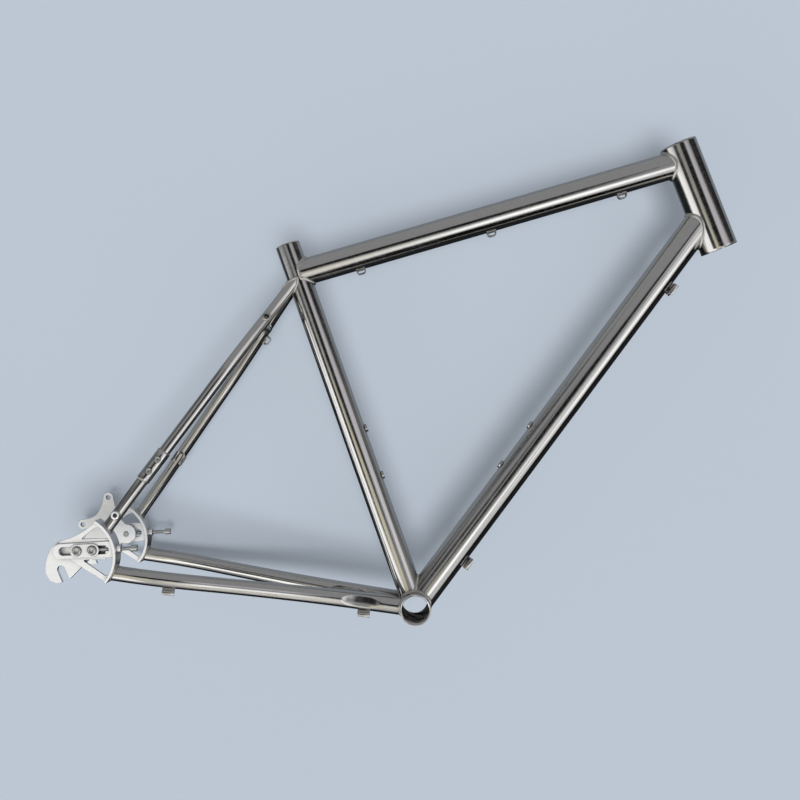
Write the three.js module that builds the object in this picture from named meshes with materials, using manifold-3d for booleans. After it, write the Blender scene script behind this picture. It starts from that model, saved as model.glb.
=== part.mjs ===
// Bicycle frame for a toothed belt: sliding rear dropouts, a disc brake mount on the left slider,
// and a right seat stay that opens at a bolted splitter so that the belt can be fitted.
// Millimetres, +X forward, +Y to the rider's left and +Z up. The head, top, down and seat tubes
// lie in the plane y = 0. Sizes and places below are measured from the centre of the bottom
// bracket shell. At the end the whole frame is moved so that the origin is the middle of the
// underside of its bounding box, just under the shell.

import * as THREE from "three";
import { mergeVertices } from "three/addons/utils/BufferGeometryUtils.js";
import Module from "manifold-3d";

const wasm = await Module();
wasm.setup();

// ---- Driving dimensions ----------------------------------------------------------------------

const RIGHT = -1;
const LEFT = 1;
const GAP = 0.3; // between a mitred tube and the tube it is welded to
const RUNNING = 0.15; // between sliding faces

const SEAT_ANGLE = 73; // degrees between the seat tube and the ground
const HEAD_ANGLE = 71;
const SHELL = { radius: 20, bore: 17.2, halfWidth: 34 };
const SEAT_TUBE = { radius: 15.9, bore: 13.6, length: 496, slitWidth: 2.6, slitLength: 32 };
const HEAD_TUBE = { radius: 23.8, bore: 22, length: 146.7, foot: at(415.3, 0, 444.2) };
const TOP_TUBE = { radius: 17.45, bore: 16.5, upSeatTube: 455.8, upHeadTube: 122.2, cheek: 4 };
const DOWN_TUBE = { radius: 19.05, bore: 18.1, upHeadTube: 48.9 };

// A stay is straight seen from the side. Each bend is [distance along it, distance from y = 0].
const CHAIN_STAY = {
  front: 11,
  rear: 9.5,
  wall: 1,
  end: at(-366, 0, 70.5),
  bends: [
    [0, 22.5],
    [61, 25.2],
    [117, 31.5],
    [209, 50],
    [249.5, 59.5],
    [295, 70.5],
    [336, 76.3],
    [372.7, 77],
  ],
};
const SEAT_STAY = {
  radius: 7.15,
  wall: 0.9,
  foot: at(-371.8, 0, 126.2),
  upSeatTube: 451.4,
  bends: [
    [0, 77],
    [60, 72],
    [125, 62],
    [190, 52.5],
    [240, 46],
    [290, 33.5],
    [340, 17.4],
    [388.3, 8.2],
  ],
};
const BRIDGE_RADIUS = 6.35;
const CHAIN_BRIDGE = at(-58, 0, 11.2);
const SEAT_BRIDGE = at(-180, 0, 369);

// The belt splitter: a lap joint in the right seat stay, given in distances along the stay.
const SPLITTER = { start: 71.5, end: 113.8, radius: 8.4, collar: 4.5, boltAt: [13, 30.5] };
const SPLITTER_BOLT = { radius: 2.5, headRadius: 4, headHeight: 3.6 };

// The dropouts. Sizes across the bicycle are distances from y = 0.
const HOOD = { x: -411.3, z: 94, radius: 51, wall: 3.5, top: 57, bottom: -42, inner: 64.5, outer: 89.5 };
const PLATE = { inner: 74, strut: 78.5, outer: 81 };
const ARM = { z: 100, half: 9.2, rear: -430, slotRear: -431.8, slotFront: -370.7, slotHalf: 5.25 };
const AXLE = { x: -432, z: 77, slotHalf: 5, slotTilt: 20 }; // the axle slot leans 20 degrees forward
const HUB_FACE = 67.5; // half of a 135 mm hub
const SLIDER_BOLTS = [-390.3, -408.7]; // front and rear
const SLIDER_BOLT = { radius: 2.9, headRadius: 5.5, headHeight: 4 };
const CLAMP_PLATE = { length: 35, height: 16, thickness: 2.5 };
const TONGUE = { front: -384.5, rear: -414.5, half: 5.1, outer: 80.5 };
const ADJUSTER = { y: 77.5, z: 100, radius: 2.5, headRadius: 4.1, headLength: 7.1 };
const ADJUSTER_HEAD_X = { [RIGHT]: -343.5, [LEFT]: -338.7 }; // rear face of the head
const ADJUSTER_NUT = { front: -356, radius: 4.9 };
const DISC_MOUNT = { upper: [-412.3, 150.9], lower: [-448.5, 115.6], ear: 6.6, hole: 3.1 };

// Fittings, in distances along their tube from the bottom bracket or the seat tube.
const BOTTLE_BOSS = { radius: 5.2, height: 2.6, hole: 2.5 };
const SEAT_TUBE_BOSSES = [237.8, 173.3];
const DOWN_TUBE_BOSSES = [276.5, 213];
const HOSE_LOOPS = [433.5, 257, 80.6];
const DOWN_TUBE_GUIDES = [527.8, 84.3];
const CHAIN_STAY_GUIDES = [0.17, 0.82]; // shares of the stay's length from the bottom bracket
const LOOP = { length: 12.5, width: 7, drop: 6.2, strap: 1.7 };
const GUIDE = { length: 15, channel: 3.9, hose: 2.7, spread: 4.2, stand: 5.2 };
const RACK_BOSS = { share: 0.83, radius: 4.8, hole: 2.5, reach: 10.5 };
const EYELET = { share: 0.049, radius: 4.9, hole: 2.5, reach: 10.5 };

const MAIN_SIDES = 24;
const STAY_SIDES = 16;
const STAY_RINGS = 9;
const SMALL_SIDES = 12;

// ---- Materials -------------------------------------------------------------------------------

const titanium = new THREE.MeshStandardMaterial({ color: 0x8f8d88, roughness: 0.32, metalness: 1 });
const machined = new THREE.MeshStandardMaterial({ color: 0xc4c3bf, roughness: 0.42, metalness: 1 });
const steel = new THREE.MeshStandardMaterial({ color: 0x9a9ca0, roughness: 0.22, metalness: 1 });

// ---- Helpers ---------------------------------------------------------------------------------

function at(x, y, z) {
  return new THREE.Vector3(x, y, z);
}

function at2(x, z) {
  return new THREE.Vector2(x, z);
}

function radians(degrees) {
  return THREE.MathUtils.degToRad(degrees);
}

// A three.js geometry as a solid that can be joined and cut.
function solid(geometry) {
  const bare = geometry.index ? geometry.toNonIndexed() : geometry.clone();
  bare.deleteAttribute("normal");
  bare.deleteAttribute("uv");
  const merged = mergeVertices(bare, 1e-3);
  const index = merged.index.array;
  const kept = [];
  for (let i = 0; i < index.length; i += 3) {
    const [a, b, c] = index.slice(i, i + 3);
    if (a !== b && b !== c && a !== c) kept.push(a, b, c);
  }
  const corners = new Uint32Array(kept);
  const build = () =>
    new wasm.Manifold(
      new wasm.Mesh({ numProp: 3, vertProperties: merged.attributes.position.array, triVerts: corners }),
    );
  const first = build();
  if (first.volume() > 0) return first;
  corners.reverse();
  return build();
}

// A solid as a named mesh.
function piece(name, shape, material) {
  const mesh = shape.getMesh();
  const geometry = new THREE.BufferGeometry();
  geometry.setAttribute("position", new THREE.BufferAttribute(new Float32Array(mesh.vertProperties), 3));
  geometry.setIndex(new THREE.BufferAttribute(new Uint32Array(mesh.triVerts), 1));
  geometry.computeVertexNormals();
  const made = new THREE.Mesh(geometry, material);
  made.name = name;
  return made;
}

// Stands a mesh on a tube: its local X runs along the tube and its local Z away from it.
function stand(mesh, origin, along, outward) {
  const across = outward.clone().cross(along).normalize();
  const away = along.clone().cross(across).normalize();
  mesh.quaternion.setFromRotationMatrix(new THREE.Matrix4().makeBasis(along, across, away));
  mesh.position.copy(origin);
  return mesh;
}

function rod(from, to, radius, sides = SMALL_SIDES) {
  const along = to.clone().sub(from);
  const geometry = new THREE.CylinderGeometry(radius, radius, along.length(), sides);
  const turn = new THREE.Quaternion().setFromUnitVectors(at(0, 1, 0), along.clone().normalize());
  geometry.applyQuaternion(turn);
  geometry.translate(...from.clone().add(to).multiplyScalar(0.5).toArray());
  return solid(geometry);
}

function tube(from, to, radius, bore, sides = MAIN_SIDES) {
  const along = to.clone().sub(from).normalize();
  const inside = rod(from.clone().sub(along), to.clone().add(along), bore, sides);
  return rod(from, to, radius, sides).subtract(inside);
}

function box(low, high) {
  const size = high.clone().sub(low);
  const geometry = new THREE.BoxGeometry(size.x, size.y, size.z);
  geometry.translate(...low.clone().add(high).multiplyScalar(0.5).toArray());
  return solid(geometry);
}

// An outline drawn in x and z, given thickness between two distances from y = 0 on one side.
function slab(outline, side, near, far) {
  const geometry = new THREE.ExtrudeGeometry(outline, {
    depth: far - near,
    bevelEnabled: false,
    curveSegments: 6,
  });
  geometry.rotateX(Math.PI / 2);
  geometry.translate(0, side === LEFT ? far : -near, 0);
  return solid(geometry);
}

// A rod along Y on one side, between two distances from y = 0.
function crossRod(x, z, side, near, far, radius, sides = SMALL_SIDES) {
  return rod(at(x, side * near, z), at(x, side * far, z), radius, sides);
}

function obround(rear, front, z, half) {
  const outline = new THREE.Shape();
  outline.absarc(rear + half, z, half, Math.PI / 2, (3 * Math.PI) / 2, false);
  outline.absarc(front - half, z, half, -Math.PI / 2, Math.PI / 2, false);
  outline.closePath();
  return outline;
}

// ---- Main tubes ------------------------------------------------------------------------------

const seatAxis = at(-Math.cos(radians(SEAT_ANGLE)), 0, Math.sin(radians(SEAT_ANGLE)));
const headAxis = at(-Math.cos(radians(HEAD_ANGLE)), 0, Math.sin(radians(HEAD_ANGLE)));
const centre = at(0, 0, 0);
const seatTop = seatAxis.clone().multiplyScalar(SEAT_TUBE.length);
const headTop = HEAD_TUBE.foot.clone().addScaledVector(headAxis, HEAD_TUBE.length);
const topTubeRear = seatAxis.clone().multiplyScalar(TOP_TUBE.upSeatTube);
const topTubeFront = HEAD_TUBE.foot.clone().addScaledVector(headAxis, TOP_TUBE.upHeadTube);
const downTubeFront = HEAD_TUBE.foot.clone().addScaledVector(headAxis, DOWN_TUBE.upHeadTube);
const topTubeAxis = topTubeFront.clone().sub(topTubeRear).normalize();
const downTubeAxis = downTubeFront.clone().normalize();

// Solids that leave the welding gap around a tube when they are cut from its neighbours.
const shellCut = rod(at(0, -60, 0), at(0, 60, 0), SHELL.radius + GAP, MAIN_SIDES);
const seatCut = rod(centre, seatTop, SEAT_TUBE.radius + GAP, MAIN_SIDES);
const headCut = rod(HEAD_TUBE.foot, headTop, HEAD_TUBE.radius + GAP, MAIN_SIDES);
const topCut = rod(topTubeRear, topTubeFront, TOP_TUBE.radius + GAP, MAIN_SIDES);

// Directions square to a tube in the plane y = 0.
const seatFront = at(seatAxis.z, 0, -seatAxis.x);
const downTubeUp = at(-downTubeAxis.z, 0, downTubeAxis.x);
const topTubeDown = at(topTubeAxis.z, 0, -topTubeAxis.x);

function boreFor(along, distance, outward) {
  const centreLine = along.clone().multiplyScalar(distance);
  return rod(centreLine, centreLine.clone().addScaledVector(outward, 30), BOTTLE_BOSS.hole + GAP);
}

function makeBottomBracketShell() {
  const { halfWidth, radius, bore } = SHELL;
  return piece("bb_shell", tube(at(0, -halfWidth, 0), at(0, halfWidth, 0), radius, bore), titanium);
}

function makeHeadTube() {
  return piece("head_tube", tube(HEAD_TUBE.foot, headTop, HEAD_TUBE.radius, HEAD_TUBE.bore), titanium);
}

// The seat tube has a slit in its rear wall, so that a clamp can close it on the seat post.
function makeSeatTube() {
  const { radius, bore, slitWidth, slitLength } = SEAT_TUBE;
  const slitEnd = seatTop.clone().addScaledVector(seatAxis, -slitLength);
  const slit = box(at(-30, -slitWidth / 2, 0), at(0, slitWidth / 2, slitLength + 5));
  const lean = new THREE.Matrix4().makeBasis(seatFront, at(0, 1, 0), seatAxis).setPosition(slitEnd);
  const relief = rod(slitEnd, slitEnd.clone().addScaledVector(seatFront, -30), slitWidth);
  let shape = tube(centre, seatTop, radius, bore).subtract(shellCut);
  shape = shape.subtract(slit.transform(lean.toArray())).subtract(relief);
  for (const distance of SEAT_TUBE_BOSSES) shape = shape.subtract(boreFor(seatAxis, distance, seatFront));
  return piece("seat_tube", shape, titanium);
}

// The top tube is wider than the seat tube, so its cheeks stop just ahead of the seat tube's axis.
function makeTopTube() {
  const cheeks = topTubeRear.clone().addScaledVector(topTubeAxis, TOP_TUBE.cheek);
  const shape = tube(cheeks, topTubeFront, TOP_TUBE.radius, TOP_TUBE.bore);
  return piece("top_tube", shape.subtract(seatCut).subtract(headCut), titanium);
}

function makeDownTube() {
  let shape = tube(centre, downTubeFront, DOWN_TUBE.radius, DOWN_TUBE.bore);
  shape = shape.subtract(shellCut).subtract(seatCut).subtract(headCut);
  for (const distance of DOWN_TUBE_BOSSES) {
    shape = shape.subtract(boreFor(downTubeAxis, distance, downTubeUp));
  }
  return piece("down_tube", shape, titanium);
}

// ---- Stays -----------------------------------------------------------------------------------

// A bent stay: its centre line, and the direction square to the plane that it bends in.
function stayLine(side, start, end, bends) {
  const along = end.clone().sub(start).normalize();
  const points = bends.map(([distance, offset]) =>
    start.clone().addScaledVector(along, distance).setY(side * offset),
  );
  return { path: new THREE.CatmullRomCurve3(points, false, "centripetal"), square: at(-along.z, 0, along.x) };
}

// Revolves a straight tube of unit length and bends it onto the stay. A wall of 0 makes it solid.
function bentTube(stay, radiusAt, wall) {
  const shares = Array.from({ length: STAY_RINGS + 1 }, (_, i) => i / STAY_RINGS);
  const outside = shares.map((share) => new THREE.Vector2(radiusAt(share), share));
  const inside = shares.map((share) => new THREE.Vector2(radiusAt(share) - wall, share)).reverse();
  const closed = [...outside, ...inside, outside[0].clone()];
  const filled = [new THREE.Vector2(0, 0), ...outside, new THREE.Vector2(0, 1)];
  const profile = wall ? closed : filled;
  const geometry = new THREE.LatheGeometry(profile, STAY_SIDES);
  const place = geometry.getAttribute("position");
  for (let i = 0; i < place.count; i += 1) {
    const share = place.getY(i);
    const tangent = stay.path.getTangentAt(share);
    const side = tangent.clone().cross(stay.square).normalize();
    const point = stay.path.getPointAt(share);
    point.addScaledVector(side, place.getX(i)).addScaledVector(stay.square, place.getZ(i));
    place.setXYZ(i, point.x, point.y, point.z);
  }
  return solid(geometry);
}

const seatStayTop = seatAxis.clone().multiplyScalar(SEAT_STAY.upSeatTube);
const hoodCut = rod(at(HOOD.x, -100, HOOD.z), at(HOOD.x, 100, HOOD.z), HOOD.radius + GAP, 64);

function chainStayRadius(share) {
  return THREE.MathUtils.lerp(CHAIN_STAY.front, CHAIN_STAY.rear, THREE.MathUtils.smoothstep(share, 0.1, 0.7));
}

function seatStayRadius() {
  return SEAT_STAY.radius;
}

function chainStayLine(side) {
  return stayLine(side, centre, CHAIN_STAY.end, CHAIN_STAY.bends);
}

function seatStayLine(side) {
  return stayLine(side, SEAT_STAY.foot, seatStayTop, SEAT_STAY.bends);
}

function makeChainStay(side) {
  const shape = bentTube(chainStayLine(side), chainStayRadius, CHAIN_STAY.wall);
  return piece(`chainstay_${sideName(side)}`, shape.subtract(shellCut).subtract(hoodCut), titanium);
}

function makeLeftSeatStay() {
  const shape = bentTube(seatStayLine(LEFT), seatStayRadius, SEAT_STAY.wall);
  return piece("seatstay_left", shape.subtract(seatCut).subtract(topCut).subtract(hoodCut), titanium);
}

function sideName(side) {
  return side === RIGHT ? "right" : "left";
}

// A stay made solid and thicker by the gap, to cut what is welded onto it.
function stayCut(line, radiusAt) {
  return bentTube(line, (share) => radiusAt(share) + GAP, 0);
}

function makeBridge(name, middle, line, radiusAt, reach) {
  const shape = rod(middle.clone().setY(-reach), middle.clone().setY(reach), BRIDGE_RADIUS, STAY_SIDES);
  const [far, near] = [middle.clone().setY(-reach - 1), middle.clone().setY(reach + 1)];
  const bore = rod(far, near, BRIDGE_RADIUS - 1, STAY_SIDES);
  const cut = stayCut(line(RIGHT), radiusAt).add(stayCut(line(LEFT), radiusAt));
  return piece(name, shape.subtract(bore).subtract(cut), titanium);
}

// ---- Belt splitter ---------------------------------------------------------------------------

const rightSeatStay = seatStayLine(RIGHT);
const rightSeatStayLength = rightSeatStay.path.getLength();
const splitterFoot = rightSeatStay.path.getPointAt(SPLITTER.start / rightSeatStayLength);
const splitterHead = rightSeatStay.path.getPointAt(SPLITTER.end / rightSeatStayLength);
const splitterAxis = splitterHead.clone().sub(splitterFoot).normalize();
const splitterLength = splitterFoot.distanceTo(splitterHead);
const splitterOut = splitterAxis.clone().cross(rightSeatStay.square).normalize();

// In the splitter's own frame x runs up the stay, z points away from the wheel, and the lap is
// the plane z = 0.
function makeSplitterHalf(upper) {
  const { radius, collar } = SPLITTER;
  const round = rod(at(0, 0, 0), at(splitterLength, 0, 0), radius, STAY_SIDES);
  const [low, high] = upper ? [-20, collar] : [splitterLength - collar, splitterLength + 20];
  const tail = box(at(low, -20, -20), at(high, 20, 20));
  const [floor, roof] = upper ? [-20, GAP / 2] : [-GAP / 2, 20];
  const middle = box(at(collar - 1, -20, floor), at(splitterLength - collar + 1, 20, roof));
  const clip = upper
    ? middle.add(box(at(collar - 1, -20, -20), at(splitterLength - collar - GAP, 20, roof)))
    : middle.add(box(at(collar + GAP, -20, floor), at(splitterLength, 20, 20)));
  let shape = round.subtract(tail).subtract(clip);
  for (const x of SPLITTER.boltAt) {
    shape = shape.subtract(rod(at(x, 0, -20), at(x, 0, 20), SPLITTER_BOLT.radius + GAP / 2));
    shape = shape.subtract(rod(at(x, 0, radius - SPLITTER_BOLT.headHeight - GAP), at(x, 0, 20), 4.4));
  }
  const name = upper ? "splitter_upper_half" : "splitter_lower_half";
  return stand(piece(name, shape, machined), splitterFoot, splitterAxis, splitterOut);
}

function makeSplitterBolt(name, x) {
  const { radius, headRadius, headHeight } = SPLITTER_BOLT;
  const top = SPLITTER.radius - 0.1;
  const socket = rod(at(x, 0, top - 2.2), at(x, 0, top + 1), 2, 6);
  const head = rod(at(x, 0, top - headHeight), at(x, 0, top), headRadius);
  const shank = rod(at(x, 0, -6.5), at(x, 0, top - headHeight + 0.5), radius);
  return stand(piece(name, head.add(shank).subtract(socket), steel), splitterFoot, splitterAxis, splitterOut);
}

// The right stay is bent in one piece and then cut in two, with room for the splitter between.
function makeRightSeatStays() {
  const low = splitterFoot.clone().addScaledVector(splitterAxis, -GAP);
  const high = splitterHead.clone().addScaledVector(splitterAxis, GAP);
  let shape = bentTube(rightSeatStay, seatStayRadius, SEAT_STAY.wall);
  shape = shape.subtract(rod(low, high, SPLITTER.radius + 2));
  shape = shape.subtract(seatCut).subtract(topCut).subtract(hoodCut);
  const halves = shape.decompose().sort((a, b) => a.boundingBox().min[2] - b.boundingBox().min[2]);
  const names = ["seatstay_right_lower", "seatstay_right_upper"];
  return halves.map((half, i) => piece(names[i], half, titanium));
}

// ---- Dropouts --------------------------------------------------------------------------------

function onHood(angle, radius) {
  return [HOOD.x + radius * Math.cos(radians(angle)), HOOD.z + radius * Math.sin(radians(angle))];
}

// The two struts that spread from the slotted arm to the ends of the hood.
function strutOutline() {
  const outline = new THREE.Shape();
  const weld = HOOD.radius - HOOD.wall / 2;
  outline.moveTo(-420, 91.5);
  outline.lineTo(-431, 95);
  outline.lineTo(-433, 108);
  outline.lineTo(-430, 112.8);
  outline.splineThru([at2(-417, 116), at2(-401, 123.5), at2(...onHood(HOOD.top, weld))]);
  outline.absarc(HOOD.x, HOOD.z, weld, radians(HOOD.top), radians(HOOD.bottom), true);
  outline.lineTo(...onHood(HOOD.bottom - 3, weld - 3));
  outline.lineTo(-405, 79.3);
  outline.quadraticCurveTo(-411, 83.5, -420, 91.5);
  return outline;
}

function upperWindow() {
  const edge = HOOD.radius - HOOD.wall - 1.5;
  const hole = new THREE.Shape();
  hole.moveTo(-402, 113.6);
  hole.quadraticCurveTo(-404.5, 113.8, -402.5, 115.6);
  hole.lineTo(-390, 125);
  hole.quadraticCurveTo(-386, 128, ...onHood(47, edge));
  hole.absarc(HOOD.x, HOOD.z, edge, radians(46), radians(25.2), true);
  hole.closePath();
  return hole;
}

function lowerWindow() {
  const edge = HOOD.radius - HOOD.wall - 1.5;
  const hole = new THREE.Shape();
  hole.moveTo(-401.5, 88.2);
  hole.lineTo(...onHood(-6, edge));
  hole.absarc(HOOD.x, HOOD.z, edge, radians(-6), radians(-33), true);
  hole.quadraticCurveTo(-376, 66.4, -379, 69.2);
  hole.lineTo(-402.4, 86.8);
  hole.closePath();
  return hole;
}

function hoodOutline() {
  const outline = new THREE.Shape();
  outline.absarc(HOOD.x, HOOD.z, HOOD.radius, radians(HOOD.bottom), radians(HOOD.top), false);
  outline.absarc(HOOD.x, HOOD.z, HOOD.radius - HOOD.wall, radians(HOOD.top), radians(HOOD.bottom), true);
  outline.closePath();
  return outline;
}

function armOutline() {
  const outline = new THREE.Shape();
  const front = HOOD.x + HOOD.radius - HOOD.wall / 2 - 1;
  outline.moveTo(front, ARM.z - ARM.half);
  outline.lineTo(front, ARM.z + ARM.half + 1);
  outline.lineTo(ARM.rear, ARM.z + ARM.half);
  outline.absarc(ARM.rear, ARM.z, ARM.half, Math.PI / 2, (3 * Math.PI) / 2, false);
  outline.closePath();
  return outline;
}

// A flat plate with a slot for the slider, and a curved hood that the two stays butt against.
function makeDropout(side) {
  let struts = slab(strutOutline(), side, PLATE.inner, PLATE.strut);
  for (const window of [upperWindow(), lowerWindow()]) {
    struts = struts.subtract(slab(window, side, PLATE.inner - 1, PLATE.outer + 1));
  }
  const hood = slab(hoodOutline(), side, HOOD.inner, HOOD.outer);
  const arm = slab(armOutline(), side, PLATE.inner, PLATE.outer);
  const slotOutline = obround(ARM.slotRear, ARM.slotFront, ARM.z, ARM.slotHalf);
  const slot = slab(slotOutline, side, PLATE.inner - 1, PLATE.outer + 1);
  const y = side * ADJUSTER.y;
  const screwHole = rod(at(-380, y, ADJUSTER.z), at(-340, y, ADJUSTER.z), ADJUSTER.radius + 0.2);
  const shape = struts.add(hood).add(arm).subtract(slot).subtract(screwHole);
  return piece(`dropout_${sideName(side)}`, shape, machined);
}

// ---- Sliders ---------------------------------------------------------------------------------

// The axle plate, with an open slot for the axle.
function sliderOutline() {
  const tilt = radians(AXLE.slotTilt);
  const down = at2(Math.sin(tilt), -Math.cos(tilt));
  const across = at2(Math.cos(tilt), Math.sin(tilt));
  const mouth = (reach, offset) => [
    AXLE.x + down.x * reach + across.x * offset,
    AXLE.z + down.y * reach + across.y * offset,
  ];
  const nose = 13;
  const outline = new THREE.Shape();
  outline.moveTo(...mouth(15, -AXLE.slotHalf));
  outline.quadraticCurveTo(-438.5, 58.8, -446, 63.8);
  outline.splineThru([at2(-450.9, 72.8), at2(-451.2, 82.5), at2(-448.8, 92), at2(-442.8, 105)]);
  outline.lineTo(-436, 110.5);
  outline.lineTo(-412, 113);
  outline.lineTo(SLIDER_BOLTS[0], ARM.z + nose);
  outline.absarc(SLIDER_BOLTS[0], ARM.z, nose, Math.PI / 2, radians(-118), true);
  outline.lineTo(-406.7, 79);
  outline.lineTo(-421.5, 65.5);
  outline.lineTo(...mouth(13, AXLE.slotHalf));
  outline.absarc(AXLE.x, AXLE.z, AXLE.slotHalf, tilt, Math.PI + tilt, false);
  outline.closePath();
  return outline;
}

// The two ears that carry the disc brake, and the web that joins them to the left slider.
function discMountOutline() {
  const { upper, lower, ear } = DISC_MOUNT;
  const outline = new THREE.Shape();
  outline.moveTo(upper[0] + ear, upper[1]);
  outline.absarc(...upper, ear, 0, radians(150), false);
  outline.quadraticCurveTo(-422, 135, -430, 128);
  outline.quadraticCurveTo(-437, 122.5, lower[0] + 1, lower[1] + ear);
  outline.absarc(...lower, ear, radians(90), radians(300), false);
  outline.lineTo(-436, 104);
  outline.lineTo(-387, 101);
  outline.lineTo(-380.5, 103);
  outline.lineTo(-394, 117);
  outline.quadraticCurveTo(-403, 128, upper[0] + ear, upper[1]);
  return outline;
}

function makeSlider(side) {
  const face = PLATE.inner - RUNNING;
  let shape = slab(sliderOutline(), side, HUB_FACE, face);
  if (side === LEFT) {
    shape = shape.add(slab(discMountOutline(), side, HUB_FACE, face));
    for (const [x, z] of [DISC_MOUNT.upper, DISC_MOUNT.lower]) {
      shape = shape.subtract(crossRod(x, z, side, HUB_FACE - 1, face + 1, DISC_MOUNT.hole));
    }
  }
  const tongue = obround(TONGUE.rear, TONGUE.front, ARM.z, TONGUE.half);
  shape = shape.add(slab(tongue, side, face - 1, TONGUE.outer));
  for (const x of SLIDER_BOLTS) {
    shape = shape.subtract(crossRod(x, ARM.z, side, 60, 90, SLIDER_BOLT.radius + 0.2));
  }
  return piece(`slider_${sideName(side)}`, shape, machined);
}

function makeClampPlate(side) {
  const middle = (SLIDER_BOLTS[0] + SLIDER_BOLTS[1]) / 2;
  const { length, height, thickness } = CLAMP_PLATE;
  const outline = obround(middle - length / 2, middle + length / 2, ARM.z, height / 2);
  const face = PLATE.outer + RUNNING;
  let shape = slab(outline, side, face, face + thickness);
  for (const x of SLIDER_BOLTS) {
    shape = shape.subtract(crossRod(x, ARM.z, side, 60, 90, SLIDER_BOLT.radius + 0.3));
  }
  return piece(`clamp_plate_${sideName(side)}`, shape, machined);
}

function makeSliderBolt(side, which) {
  const x = SLIDER_BOLTS[which];
  const seatFace = PLATE.outer + 2 * RUNNING + CLAMP_PLATE.thickness;
  const top = seatFace + SLIDER_BOLT.headHeight;
  const head = crossRod(x, ARM.z, side, seatFace, top, SLIDER_BOLT.headRadius);
  const shank = crossRod(x, ARM.z, side, HUB_FACE + 0.1, seatFace + 1, SLIDER_BOLT.radius);
  const socket = crossRod(x, ARM.z, side, top - 2.6, top + 1, 2.9, 6);
  const name = `slider_bolt_${sideName(side)}_${which === 0 ? "front" : "rear"}`;
  return piece(name, head.add(shank).subtract(socket), steel);
}

// The screw that pushes the slider back. Its tip bears on the slider's tongue.
function makeAdjusterScrew(side) {
  const { y, z, radius, headRadius, headLength } = ADJUSTER;
  const headRear = ADJUSTER_HEAD_X[side];
  const tip = TONGUE.front + GAP;
  const head = rod(at(headRear, 0, 0), at(headRear + headLength, 0, 0), headRadius);
  const shank = rod(at(tip, 0, 0), at(headRear + 1, 0, 0), radius);
  const socket = rod(at(headRear + headLength - 3, 0, 0), at(headRear + headLength + 1, 0, 0), 2.2, 6);
  const mesh = piece(`adjuster_screw_${sideName(side)}`, head.add(shank).subtract(socket), steel);
  mesh.position.set(0, side * y, z);
  return mesh;
}

function makeAdjusterNut(side) {
  const y = side * ADJUSTER.y;
  const body = rod(at(-370, y, ADJUSTER.z), at(ADJUSTER_NUT.front, y, ADJUSTER.z), ADJUSTER_NUT.radius);
  const hole = rod(at(-380, y, ADJUSTER.z), at(-340, y, ADJUSTER.z), ADJUSTER.radius + 0.2);
  return piece(`adjuster_nut_${sideName(side)}`, body.subtract(hoodCut).subtract(hole), machined);
}

// ---- Fittings --------------------------------------------------------------------------------
// Each is drawn with its tube along local X, and grows along local Z from the tube's centre line.

function tubeCut(radius) {
  return rod(at(-40, 0, 0), at(40, 0, 0), radius + GAP, MAIN_SIDES);
}

function bottleBoss(name, tubeRadius) {
  const top = tubeRadius + BOTTLE_BOSS.height;
  const body = rod(at(0, 0, 0), at(0, 0, top), BOTTLE_BOSS.radius);
  const hole = rod(at(0, 0, -1), at(0, 0, top + 1), BOTTLE_BOSS.hole);
  return piece(name, body.subtract(hole).subtract(tubeCut(tubeRadius)), titanium);
}

// A strap bent into a low bridge, open to both sides.
function hoseLoop(name, tubeRadius) {
  const { length, width, drop, strap } = LOOP;
  const root = tubeRadius - 3;
  const arch = (half, foot, top, shoulder) => {
    const outline = new THREE.Shape();
    outline.moveTo(-half, foot);
    outline.lineTo(half, foot);
    outline.lineTo(half, top - shoulder);
    outline.quadraticCurveTo(half * 0.85, top, half * 0.35, top);
    outline.lineTo(-half * 0.35, top);
    outline.quadraticCurveTo(-half * 0.85, top, -half, top - shoulder);
    outline.closePath();
    return outline;
  };
  const outside = slab(arch(length / 2, root, tubeRadius + drop, 4), LEFT, -width / 2, width / 2);
  const opening = arch(length / 2 - strap, tubeRadius + 1.2, tubeRadius + drop - strap, 2);
  const hole = slab(opening, LEFT, -width, width);
  return piece(name, outside.subtract(hole).subtract(tubeCut(tubeRadius)), titanium);
}

// Two open channels side by side on a short stem, for hoses or cables that run along the tube.
function cableGuide(name, tubeRadius) {
  const { length, channel, hose, spread, stand: height } = GUIDE;
  const z = tubeRadius + height;
  const [rear, front] = [-length / 2, length / 2];
  let shape = box(at(rear, -3, 0), at(front, 3, z - 1));
  for (const y of [-spread, spread]) shape = shape.add(rod(at(rear, y, z), at(front, y, z), channel));
  for (const y of [-spread, spread]) {
    shape = shape.subtract(rod(at(rear - 1, y, z), at(front + 1, y, z), hose));
    shape = shape.subtract(box(at(rear - 1, y - 1.7, z), at(front + 1, y + 1.7, z + 10)));
  }
  return piece(name, shape.subtract(tubeCut(tubeRadius)), titanium);
}

// A short threaded tube that stands out sideways from a seat stay.
function sideBoss(name, side, { share, radius, hole, reach }) {
  const line = seatStayLine(side);
  const foot = line.path.getPointAt(share);
  const far = foot.clone().add(at(0, side * reach, 0));
  const bore = rod(foot.clone().add(at(0, -side, 0)), far.clone().add(at(0, side, 0)), hole);
  const shape = rod(foot, far, radius).subtract(bore).subtract(stayCut(line, seatStayRadius));
  return piece(name, shape, titanium);
}

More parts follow.
